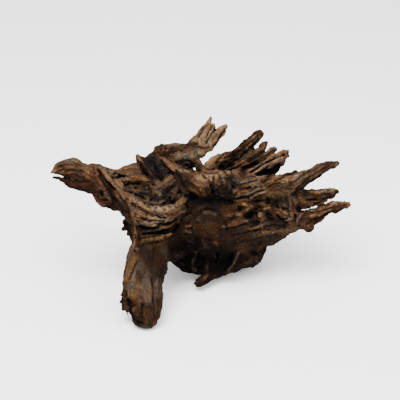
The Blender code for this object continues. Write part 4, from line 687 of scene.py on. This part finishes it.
class Limb:
    """One limb: its centre line, and at each section its half width and half depth and the way they point."""

    def __init__(self, stations):
        line = smooth_line(stations)
        self.centre = to_world(line[:, :3])
        self.wide, self.deep = line[:, 3], line[:, 4]
        self.along = unit(np.gradient(self.centre, axis=0))
        across = np.cross(self.along, VIEWER)
        for i in range(len(across)):
            if np.linalg.norm(across[i]) < END_ON:
                across[i] = across[i - 1] if i else (1.0, 0.0, 0.0)
        across -= self.along * (across * self.along).sum(1, keepdims=True)
        self.across = unit(across)
        self.front = np.cross(self.across, self.along)
        steps = np.linalg.norm(np.diff(self.centre, axis=0), axis=1)
        self.run = np.concatenate([[0.0], np.cumsum(steps)])

    def measure(self, points):
        """The distance of each point from this limb's surface, and its place: across, in front, along."""
        here = np.empty(len(points), int)
        for start in range(0, len(points), CHUNK):
            some = points[start:start + CHUNK]
            here[start:start + CHUNK] = ((some[:, None] - self.centre[None]) ** 2).sum(2).argmin(1)
        ahead = ((points - self.centre[here]) * self.along[here]).sum(1)
        last = len(self.centre) - 1
        there = np.clip(here + np.where(ahead > 0, 1, -1), 0, last)
        gap = np.linalg.norm(self.centre[there] - self.centre[here], axis=1)
        part = np.clip(np.abs(ahead) / np.maximum(gap, 1e-6), 0, 1)
        part[there == here] = 0.0

        def between(values):
            share = part if values.ndim == 1 else part[:, None]
            return values[here] * (1 - share) + values[there] * share

        offset = points - between(self.centre)
        across = (offset * between(self.across)).sum(1)
        front = (offset * between(self.front)).sum(1)
        past = np.where(there == here, ahead, 0.0)
        wide, deep = between(self.wide), between(self.deep)
        cap = np.minimum(wide, deep)
        ratio = np.sqrt((across / wide) ** 2 + (front / deep) ** 2 + (past / cap) ** 2)
        slope = np.sqrt((across / wide ** 2) ** 2 + (front / deep ** 2) ** 2 + (past / cap ** 2) ** 2)
        distance = (ratio - 1) * ratio / np.maximum(slope, 1e-6)
        return distance, np.stack([across, front, between(self.run) + past], axis=1)

    def loft(self, points, faces):
        """Adds the closed loft of this limb, with rounded ends, to the lists of points and faces."""
        turn = np.linspace(0, 2 * math.pi, LOFT_SIDES, endpoint=False)
        reach = np.minimum(self.wide, self.deep)
        sections = [(0, -reach[0] * math.sin(a), math.cos(a)) for a in reversed(END_SWELL)]
        sections += [(i, 0.0, 1.0) for i in range(len(self.wide))]
        sections += [(-1, reach[-1] * math.sin(a), math.cos(a)) for a in END_SWELL]
        first = len(points)
        for i, ahead, shrink in sections:
            middle = self.centre[i] + self.along[i] * ahead
            oval = (self.across[i] * (self.wide[i] * shrink) * np.cos(turn)[:, None]
                    + self.front[i] * (self.deep[i] * shrink) * np.sin(turn)[:, None])
            points.extend(middle + oval)
        count = len(sections)
        for ring in range(count - 1):
            for side in range(LOFT_SIDES):
                a = first + ring * LOFT_SIDES + side
                b = first + ring * LOFT_SIDES + (side + 1) % LOFT_SIDES
                faces.append((a, b, b + LOFT_SIDES, a + LOFT_SIDES))
        faces.append(tuple(first + side for side in range(LOFT_SIDES))[::-1])
        last = first + (count - 1) * LOFT_SIDES
        faces.append(tuple(last + side for side in range(LOFT_SIDES)))


def pick(piece):
    """Makes this piece the only one that is selected, and the active one."""
    bpy.ops.object.select_all(action="DESELECT")
    piece.select_set(True)
    bpy.context.view_layer.objects.active = piece


def modify(piece, kind, **settings):
    """Gives the piece a modifier with these settings and applies it."""
    pick(piece)
    bpy.ops.object.modifier_add(type=kind)
    modifier = piece.modifiers[-1]
    for name, value in settings.items():
        setattr(modifier, name, value)
    bpy.ops.object.modifier_apply(modifier=modifier.name)


def remesh(piece, voxel):
    modify(piece, "REMESH", mode="VOXEL", voxel_size=voxel)
    modify(piece, "SMOOTH", factor=0.5, iterations=2)


def mesh_object(name, points, faces):
    mesh = bpy.data.meshes.new(name)
    mesh.from_pydata([tuple(p * MM) for p in points], [], faces)
    made = bpy.data.objects.new(name, mesh)
    bpy.context.scene.collection.objects.link(made)
    return made


def grown_together(name, limbs, voxel):
    """One closed surface round all these limbs."""
    points, faces = [], []
    for limb in limbs:
        limb.loft(points, faces)
    made = mesh_object(name, points, faces)
    remesh(made, voxel)
    return made


def hollow_out(wood, hollows, voxel):
    cutter = grown_together("hollows", hollows, voxel)
    modify(wood, "BOOLEAN", operation="DIFFERENCE", solver="MANIFOLD", object=cutter)
    bpy.data.objects.remove(cutter)
    remesh(wood, voxel)


def noise(points, seed):
    """Smooth value noise between 0 and 1 on a unit lattice."""
    cell = np.floor(points).astype(np.int64)
    part = points - cell
    ease = part * part * (3 - 2 * part)
    total = np.zeros(len(points))
    for corner in range(8):
        step = np.array([corner & 1, corner >> 1 & 1, corner >> 2 & 1])
        key = ((cell + step) * LATTICE_PRIMES).sum(1) + seed * SEED_PRIME
        key = (key ^ (key >> 13)) * 1274126177 & 0xFFFFFFFF
        key = (key ^ (key >> 16)) * 2246822519 & 0xFFFFFFFF
        value = (key >> 8 & 0xFFFF) / 65535.0
        total += value * np.where(step, ease, 1 - ease).prod(1)
    return total


class Field:
    """For each point of the surface: the limb that it belongs to and the next one, the place along and across
    each, and how far the fillet between the limbs stands out."""

    def __init__(self, points, limbs, blend):
        count = len(points)
        self.distance = np.full((2, count), OUT_OF_REACH)
        self.limb = np.zeros((2, count), int)
        self.place = np.zeros((2, count, 3))
        crowd = np.zeros(count)
        for number, limb in enumerate(limbs):
            margin = BLEND_REACH * blend + limb.wide.max() + limb.deep.max()
            low, high = limb.centre.min(0) - margin, limb.centre.max(0) + margin
            near = np.nonzero(((points > low) & (points < high)).all(1))[0]
            if not len(near):
                continue
            distance, place = limb.measure(points[near])
            crowd[near] += np.exp(-np.maximum(distance, -blend) / blend)
            first = distance < self.distance[0, near]
            second = ~first & (distance < self.distance[1, near])
            for array, value in ((self.distance, distance), (self.limb, number), (self.place, place)):
                value = np.broadcast_to(value, (len(near),) + array.shape[2:])
                array[1, near[first]] = array[0, near[first]]
                array[0, near[first]] = value[first]
                array[1, near[second]] = value[second]
        self.share = 1 / (1 + np.exp((self.distance[0] - self.distance[1]) / blend))
        self.fillet = np.clip(blend * np.log(np.maximum(crowd, 1)), 0, MOST_FILLET * blend)
        self.fillet *= np.clip(1 + (self.distance[0] + FILLET_FADE[0]) / FILLET_FADE[1], 0, 1)


def valley(values, shape):
    """A sharp groove, shape = (depth, width), wherever the values pass one half."""
    depth, width = shape
    return depth * np.exp(-((values - 0.5) / width) ** 2)


def relief(points, field, kinds):
    """How far the grain stands in or out at each point, in millimetres."""
    lumps = noise(points / LUMP, 11) - 0.5
    crumbs = noise(points / CRUMB, 13) - 0.5
    grit = noise(points / GRIT, 19) - 0.5
    out = np.zeros(len(points))
    for rank, share in enumerate((field.share, 1 - field.share)):
        grain, pitch, rough = kinds[field.limb[rank], :3].T
        place = field.place[rank] / pitch[:, None]
        place[:, 2] /= GRAIN_LENGTH
        wander = noise(place * (0.35, 0.35, 0.7) + 17.0, 3)[:, None] - 0.5
        lines = noise(place + wander * 3.0, 5)
        splits = noise(place * (0.45, 0.45, 0.5) + wander, 7)
        threads = noise(place * (2.4, 2.4, 1.6) + wander * 2, 23)
        worn = 0.55 * (lines - 0.5) - valley(lines, GROOVE) - valley(splits, CRACK)
        worn += 0.5 * (threads - 0.5) - valley(threads, HAIRLINE)
        out += share * (grain * worn + rough * (1.1 * lumps + 0.7 * crumbs + 0.4 * grit))
    return out


def rows_of(items, field, size, kind=np.float32):
    """One field of all these items of a mesh, a row for each item."""
    flat = np.empty(len(items) * size, kind)
    items.foreach_get(field, flat)
    return flat.reshape(-1, size)


def points_of(piece):
    return rows_of(piece.data.vertices, "co", 3).astype(float) / MM


def normals_of(piece):
    return rows_of(piece.data.vertex_normals, "vector", 3).astype(float)


def edges_of(piece):
    return rows_of(piece.data.edges, "vertices", 2, np.int32)


def move_points(piece, points):
    piece.data.vertices.foreach_set("co", (points * MM).astype(np.float32).ravel())
    piece.data.update()


def evened(values, edges, rounds):
    """The values averaged with their neighbours' this many times."""
    values = values.reshape(len(values), -1)
    count = len(values)
    ends = np.concatenate([edges[:, 0], edges[:, 1]])
    others = np.concatenate([edges[:, 1], edges[:, 0]])
    degree = np.bincount(ends, minlength=count) + 1.0
    for _ in range(rounds):
        columns = [np.bincount(ends, column[others], minlength=count) for column in values.T]
        values = (values + np.stack(columns, axis=1)) / degree[:, None]
    return values


def dishing(points, normals, edges, rounds):
    """How far each point lies below, or with a minus above, the surface round it."""
    return ((evened(points, edges, rounds) - points) * normals).sum(1)


def triangles_of(piece):
    piece.data.calc_loop_triangles()
    return rows_of(piece.data.loop_triangles, "vertices", 3, np.int32)


def tree_of(points, piece):
    """The piece's faces with its points in these places, for casting rays at."""
    return BVHTree.FromPolygons(points.tolist(), triangles_of(piece).tolist())


def buried(points, normals, tree):
    """The share of the rays from each point, spread round its normal, that meet wood within SKY_REACH."""
    turn = np.arange(SKY_RAYS) * math.pi * (3 - math.sqrt(5))
    rise = 1 - (2 * np.arange(SKY_RAYS) + 1) / SKY_RAYS
    ring = np.sqrt(1 - rise ** 2)
    spread = np.stack([ring * np.cos(turn), ring * np.sin(turn), rise], axis=1)
    met = np.zeros(len(points))
    starts = (points + normals * SKY_CLEARANCE).tolist()
    for way in spread:
        for i, (start, turned) in enumerate(zip(starts, unit(normals * SKY_SPREAD + way).tolist())):
            if tree.ray_cast(start, turned, SKY_REACH)[0] is not None:
                met[i] += 1
    return met / SKY_RAYS


def seen(points, normals, edges, tree):
    """How much the viewer sees of each point, from 0 to 1, with a soft border round what is hidden."""
    eye = to_world(np.array([0.0, EYE_UP, EYE]))
    ways = unit(eye - points)
    out = (ways * normals).sum(1) > GRAZING
    for i in np.nonzero(out)[0]:
        start = Vector(points[i] + normals[i] * CLEARANCE)
        if tree.ray_cast(start, Vector(ways[i]), FAR)[0] is not None:
            out[i] = False
    return evened(out.astype(float), edges, EDGE_BLUR)[:, 0]


def sway(points, axes, size, reach, seed):
    """How far each point is moved this way and that, along this many axes."""
    return reach * np.stack([noise(points / size, seed + axis) - 0.5 for axis in range(axes)], axis=1)


def marked(wood, points, normals, edges):
    """For each mark in turn: its finish and height, the points near it and how strongly it shows at each."""
    visible = seen(points, normals, edges, tree_of(points, wood))
    flat = to_layout(points)[:, :2]
    for bends in LINE_SWAY:
        flat = flat + sway(points, 2, *bends)
    for finish, wide, height, line in MARKS:
        low, high = line.min(0) - MARK_REACH * wide, line.max(0) + MARK_REACH * wide
        near = np.nonzero(((flat > low) & (flat < high)).all(1) & (visible > FAINTEST))[0]
        spot = flat[near]
        best = np.full(len(near), np.inf)
        run = np.linalg.norm(np.diff(line, axis=0), axis=1)
        for a, b, length in zip(line[:-1], line[1:], run):
            part = np.clip(((spot - a) @ (b - a)) / length ** 2, 0, 1)
            best = np.minimum(best, ((spot - a - part[:, None] * (b - a)) ** 2).sum(1))
        yield finish, height, near, np.exp(-best / wide ** 2) * visible[near]


def put_attribute(piece, name, kind, values):
    made = piece.data.attributes.new(name, kind, "POINT")
    flat = values.astype(np.float32).ravel()
    made.data.foreach_set({"FLOAT": "value", "FLOAT_COLOR": "color", "FLOAT_VECTOR": "vector"}[kind], flat)


class Value:
    """A number socket that sums and products can be written with."""

    def __init__(self, nodes, socket):
        self.nodes, self.socket = nodes, socket

    def math(self, operation, first, second):
        return self.nodes.add("ShaderNodeMath", {"operation": operation}, {0: first, 1: second})

    def __add__(self, other):
        return self.math("ADD", self, other)

    def __sub__(self, other):
        return self.math("SUBTRACT", self, other)

    def __rsub__(self, other):
        return self.math("SUBTRACT", other, self)

    def __mul__(self, other):
        return self.math("MULTIPLY", self, other)

    __radd__, __rmul__ = __add__, __mul__


class Nodes:
    """The nodes of one material."""

    def __init__(self, material):
        self.tree = material.node_tree

    def add(self, kind, settings=None, sockets=None, out=0):
        made = self.tree.nodes.new(kind)
        for name, value in (settings or {}).items():
            setattr(made, name, value)
        for name, value in (sockets or {}).items():
            self.join(value, made.inputs[name])
        return Value(self, made.outputs[out])

    def join(self, value, socket):
        if isinstance(value, Value):
            self.tree.links.new(value.socket, socket)
        else:
            socket.default_value = value

    def attribute(self, name, out):
        return self.add("ShaderNodeAttribute", {"attribute_name": name}, out=out)

    def mix(self, share, first, second, blend="MIX"):
        """From the first colour to the second."""
        made = self.tree.nodes.new("ShaderNodeMix")
        made.data_type, made.blend_type = "RGBA", blend
        for value, number in ((share, 0), (first, 6), (second, 7)):
            self.join(value, made.inputs[number])
        return Value(self, made.outputs[2])

    def times(self, first, second):
        return self.mix(1.0, first, second, "MULTIPLY")

    def step(self, value, low, high):
        """0 below low, 1 above high, and a smooth rise between."""
        return self.add("ShaderNodeMapRange", {"interpolation_type": "SMOOTHSTEP"},
                        {"Value": value, "From Min": low, "From Max": high})

    def scaled(self, vector, by):
        return self.add("ShaderNodeVectorMath", {"operation": "MULTIPLY"}, {0: vector, 1: by})

    def noise(self, vector, scale, detail):
        return self.add("ShaderNodeTexNoise", None, {"Vector": vector, "Scale": scale, "Detail": detail,
                                                     "Roughness": NOISE_ROUGHNESS})

    def finish(self, colour, roughness, normal):
        shader = self.tree.nodes["Principled BSDF"]
        self.join(colour, shader.inputs["Base Color"])
        self.join(roughness, shader.inputs["Roughness"])
        self.join(normal, shader.inputs["Normal"])
        shader.inputs["Specular IOR Level"].default_value = SHEEN


def wood_material(look):
    made = bpy.data.materials.new("weathered_ebony_wood")
    made.use_nodes = True
    nodes = Nodes(made)
    tint, contrast = nodes.attribute("tint", 0), nodes.attribute("tint", 3)
    ridge = nodes.attribute("ridge", 2)
    hollow = nodes.attribute("hollow", 2)
    share = nodes.attribute("share", 2)

    def along_grain(across, along, detail):
        """Noise drawn out along the limb that each point belongs to, and faded into the next limb's."""
        first, second = (
            nodes.noise(nodes.scaled(nodes.attribute(name, 1), (across, across, along)), 1.0, detail)
            for name in ("grain_a", "grain_b")
        )
        return first * share + second * (1 - share)

    def spread(value, reach=0.14):
        return nodes.step(value, 0.5 - reach, 0.5 + reach)

    def colour(values):
        return values[:] + (1.0,)

    place = nodes.add("ShaderNodeTexCoord", out=3)
    fibres, threads = (spread(along_grain(*pattern)) for pattern in (FIBRES, THREADS))
    streaks = along_grain(*STREAKS)
    cloudy, mottled, specks = (spread(nodes.noise(place, *pattern)) for pattern in (CLOUDS, MOTTLES, SPECKS))
    warmth = spread(nodes.noise(nodes.scaled(place, (1.0, 1.3, 1.1)), *WARMTH), 0.1)
    # ridges: lightened below as partly worn pale wood and partly painted highlight, and made less rough
    worn = nodes.step(ridge, 0.5, 1.5)
    # grooves: darkened below as painted shade
    shaded_groove = nodes.step(ridge, -0.25, -1.3)
    # places that the wood round them buries: darkened below as painted shade
    deep = nodes.step(hollow, 0.35, 0.85)
    pits = nodes.step(nodes.noise(place, *PITS), 0.56, 0.68)
    light = fibres * 0.42 + threads * 0.3 + mottled * 0.24 + specks * 0.54 + cloudy * 0.25 - 0.855
    light = light * contrast + 0.94
    shade = nodes.add("ShaderNodeCombineColor", None, {0: light, 1: light, 2: light})
    cast = nodes.mix(warmth, colour(look.cool_cast), colour(look.warm_cast))
    wood = nodes.times(nodes.times(tint, shade), cast)
    # ridges lightened: worn pale wood and painted highlight
    pale = nodes.mix(0.2, nodes.times(wood, BLEACH_AND_HIGHLIGHT), colour(look.bleach_and_highlight_colour))
    wood = nodes.mix(worn * fibres * 0.7 * contrast, wood, pale)
    wood = nodes.mix(nodes.step(streaks, 0.56, 0.7) * 0.45, wood, colour(look.stain_colour))
    # real dirt darkens the pits; painted shade darkens the grooves and the buried places
    for dirt_and_shade_share in (pits * 0.6, shaded_groove * 0.85, deep * 0.8):
        wood = nodes.mix(dirt_and_shade_share, wood, colour(look.dirt_and_shade_colour))
    roughness = 0.9 - worn * 0.2 - fibres * 0.1
    height = fibres * 0.5 + specks * 0.3 + threads * 0.25 + mottled * 0.5 - pits * 0.5
    bump = nodes.add("ShaderNodeBump", None, {"Strength": 0.9, "Distance": 0.0009, "Height": height})
    nodes.finish(wood, roughness, bump)
    return made


class TrunkLook(bpy.types.PropertyGroup):
    voxel: FloatProperty(name="Voxel", description="Size of the steps that the surface is grown in",
                         default=0.00085, unit="LENGTH", precision=5)
    triangles: IntProperty(name="Triangles", description="Triangles left after thinning out",
                           default=190000)
    # ridges are lightened towards this: worn pale wood and painted highlight
    bleach_and_highlight_colour: FloatVectorProperty(name="Bleached_and_highlit", description="Colour of ridges worn pale",
                                         default=(0.100, 0.066, 0.040), subtype="COLOR")
    stain_colour: FloatVectorProperty(name="Stain", description="Colour of dark streaks along the grain",
                                      default=(0.009, 0.006, 0.0045), subtype="COLOR")
    warm_cast: FloatVectorProperty(name="Warm cast", description="What warm patches multiply the wood by",
                                   default=(1.15, 0.94, 0.72), max=2.0)
    cool_cast: FloatVectorProperty(name="Cool cast", description="What cool patches multiply the wood by",
                                   default=(0.82, 0.91, 1.04), max=2.0)
    # pits are darkened towards this as dirt, grooves and buried places as painted shade
    dirt_and_shade_colour: FloatVectorProperty(name="Dirt_and_shade", description="Colour at the bottom of cracks and hollows",
                                     default=(0.0030, 0.0024, 0.0022), subtype="COLOR")


class StageLook(bpy.types.PropertyGroup):
    floor_colour: FloatVectorProperty(name="Floor", description="Colour of the floor",
                                      default=(0.93, 0.93, 0.93), subtype="COLOR")
    key_power: FloatProperty(name="Key light", description="Power of the soft light above", default=34.0,
                             unit="POWER")
    fill_power: FloatProperty(name="Fill light", description="Power of the light from the side",
                              default=7.0, unit="POWER")
    sky: FloatProperty(name="Sky", description="Strength of the light from all round", default=2.0)


class DRIFTWOOD_OT_trunk(bpy.types.Operator):
    """Grow the trunk: its limbs, hollows, grain and colours"""

    bl_idname = "driftwood.trunk"
    bl_label = "Grow Trunk"

    def execute(self, context):
        look = context.scene.trunk_look
        limbs = [Limb(stations) for _, _, stations in LIMBS.values()]
        kinds = np.array([KINDS[kind] for _, kind, _ in LIMBS.values()])
        hollows = [Limb(stations) for stations in HOLLOWS.values()]
        wood = grown_together("driftwood_trunk", limbs, look.voxel)
        hollow_out(wood, hollows, look.voxel)
        points = points_of(wood)
        field = Field(points, limbs, BLEND)
        points = points + normals_of(wood) * (field.fillet + relief(points, field, kinds))[:, None]
        for bends in LIMB_SWAY:
            points = points + sway(points, 3, *bends)
        move_points(wood, points)
        raise_marks(wood)
        move_points(wood, points_of(wood) - SHIFT)
        count = len(triangles_of(wood))
        if count > look.triangles:
            modify(wood, "DECIMATE", ratio=look.triangles / count, use_collapse_triangulate=True)
        wood = largest_part(wood)
        points = points_of(wood)
        points[:, 2] = np.maximum(points[:, 2], 0.0)
        move_points(wood, points)
        paint(wood, limbs, kinds)
        wood.data.materials.clear()
        wood.data.materials.append(wood_material(look))
        pick(wood)
        bpy.ops.object.shade_smooth()
        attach(wood, "root")
        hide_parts(NODE)
        return {"FINISHED"}


def largest_part(wood):
    """The wood without the crumbs that the hollows cut loose."""
    name = wood.name
    pick(wood)
    bpy.ops.object.mode_set(mode="EDIT")
    bpy.ops.mesh.select_all(action="SELECT")
    bpy.ops.mesh.separate(type="LOOSE")
    bpy.ops.object.mode_set(mode="OBJECT")
    parts = sorted(bpy.context.selected_objects, key=lambda part: len(part.data.vertices))
    for crumb in parts[:-1]:
        bpy.data.objects.remove(crumb)
    parts[-1].name = name
    return parts[-1]


def raise_marks(wood):
    """Presses the grooves among the marks into the wood and raises the ridges."""
    points, normals, edges = points_of(wood), normals_of(wood), edges_of(wood)
    rise = np.zeros(len(points))
    for _, height, near, weight in marked(wood, points, normals, edges):
        rise[near] += height * weight
    move_points(wood, points + normals * rise[:, None])


def paint(wood, limbs, kinds):
    """Gives every point its tint, painted shade of the dark marks included, its place along the grain, and
    how far it is raised or buried, which the material turns into pale wear with painted highlight and into
    painted shade.
    """
    points, normals, edges = points_of(wood), normals_of(wood), edges_of(wood)
    laid_out = points + SHIFT
    field = Field(laid_out, limbs, BLEND)
    colour_of = np.array([FINISHES[finish] for finish, _, _ in LIMBS.values()])
    colour_of = np.column_stack([colour_of, kinds[:, 3]])
    tint = (colour_of[field.limb[0]] * field.share[:, None]
            + colour_of[field.limb[1]] * (1 - field.share[:, None]))
    tint = evened(tint, edges, BLUR)
    for finish, _, near, weight in marked(wood, laid_out, normals, edges):
        if finish in FINISHES:
            share = np.minimum(weight * MARK_COVER, MOST_COVER)[:, None]
            tint[near, :3] = tint[near, :3] * (1 - share) + np.array(FINISHES[finish]) * share
    # raised points are lightened as wear and painted highlight, sunk ones darkened as painted shade
    fine, broad = (dishing(points, normals, edges, rounds) for rounds in DISH_ROUNDS)
    ridge = -(fine + broad * BROAD_PART)
    # how buried each point is, darkened in the material as painted shade
    hollow = evened(buried(points, normals, tree_of(points, wood)), edges, BLUR)
    put_attribute(wood, "tint", "FLOAT_COLOR", tint)
    put_attribute(wood, "ridge", "FLOAT", ridge)
    put_attribute(wood, "hollow", "FLOAT", hollow)
    put_attribute(wood, "share", "FLOAT", field.share)
    for rank, name in enumerate(("grain_a", "grain_b")):
        put_attribute(wood, name, "FLOAT_VECTOR", field.place[rank] + field.limb[rank][:, None] * GRAIN_APART)


class DRIFTWOOD_OT_stage(bpy.types.Operator):
    """Set up the floor, the soft lights and the camera"""

    bl_idname = "driftwood.stage"
    bl_label = "Set Up Stage"

    def execute(self, context):
        look = context.scene.stage_look
        bpy.ops.object.select_all(action="DESELECT")
        bpy.ops.mesh.primitive_plane_add(size=FLOOR_SIZE, location=(0, 0, -FLOOR_DROP))
        floor = context.object
        floor.name = "floor"
        material = bpy.data.materials.new("pale_floor")
        material.use_nodes = True
        shader = material.node_tree.nodes["Principled BSDF"]
        shader.inputs["Base Color"].default_value = look.floor_colour[:] + (1.0,)
        shader.inputs["Roughness"].default_value = FLOOR_ROUGHNESS
        floor.data.materials.append(material)
        for power, (place, size) in LIGHTS.items():
            bpy.ops.object.light_add(type="AREA", location=place)
            light = context.object
            light.data.size, light.data.energy = size, getattr(look, power)
            light.rotation_euler = (Vector(place) - LIT_SPOT).to_track_quat("Z", "Y").to_euler()
        world = bpy.data.worlds.new("studio")
        world.use_nodes = True
        sky = world.node_tree.nodes["Background"]
        sky.inputs["Color"].default_value = (1, 1, 1, 1)
        sky.inputs["Strength"].default_value = look.sky
        context.scene.world = world
        middle = Vector((to_world(np.array([0.0, EYE_UP, 0.0])) - SHIFT) * MM)
        bpy.ops.object.camera_add(location=middle + Vector(VIEWER) * EYE * MM,
                                  rotation=(math.pi / 2 - VIEW_TILT, 0, 0))
        camera = context.object
        camera.name = "viewer"
        camera.data.sensor_width = SENSOR
        camera.data.lens = SENSOR * EYE / PICTURE
        camera.data.clip_start = 0.1
        context.scene.camera = camera
        return {"FINISHED"}


class DRIFTWOOD_PT_panel(bpy.types.Panel):
    bl_label = "Driftwood"
    bl_idname = "DRIFTWOOD_PT_panel"
    bl_space_type = "VIEW_3D"
    bl_region_type = "UI"
    bl_category = "Driftwood"

    def draw(self, context):
        for look in (context.scene.trunk_look, context.scene.stage_look):
            box = self.layout.box()
            for name in look.__annotations__:
                box.prop(look, name)
        for step in STEPS:
            self.layout.operator(step.bl_idname)


STEPS = (DRIFTWOOD_OT_trunk, DRIFTWOOD_OT_stage)
CLASSES = (TrunkLook, StageLook, *STEPS, DRIFTWOOD_PT_panel)


def register():
    for kind in CLASSES:
        bpy.utils.register_class(kind)
    bpy.types.Scene.trunk_look = PointerProperty(type=TrunkLook)
    bpy.types.Scene.stage_look = PointerProperty(type=StageLook)


def unregister():
    del bpy.types.Scene.trunk_look, bpy.types.Scene.stage_look
    for kind in reversed(CLASSES):
        bpy.utils.unregister_class(kind)


def main():
    register()
    bpy.ops.driftwood.trunk()
    bpy.ops.driftwood.stage()


if __name__ == "__main__":
    main()
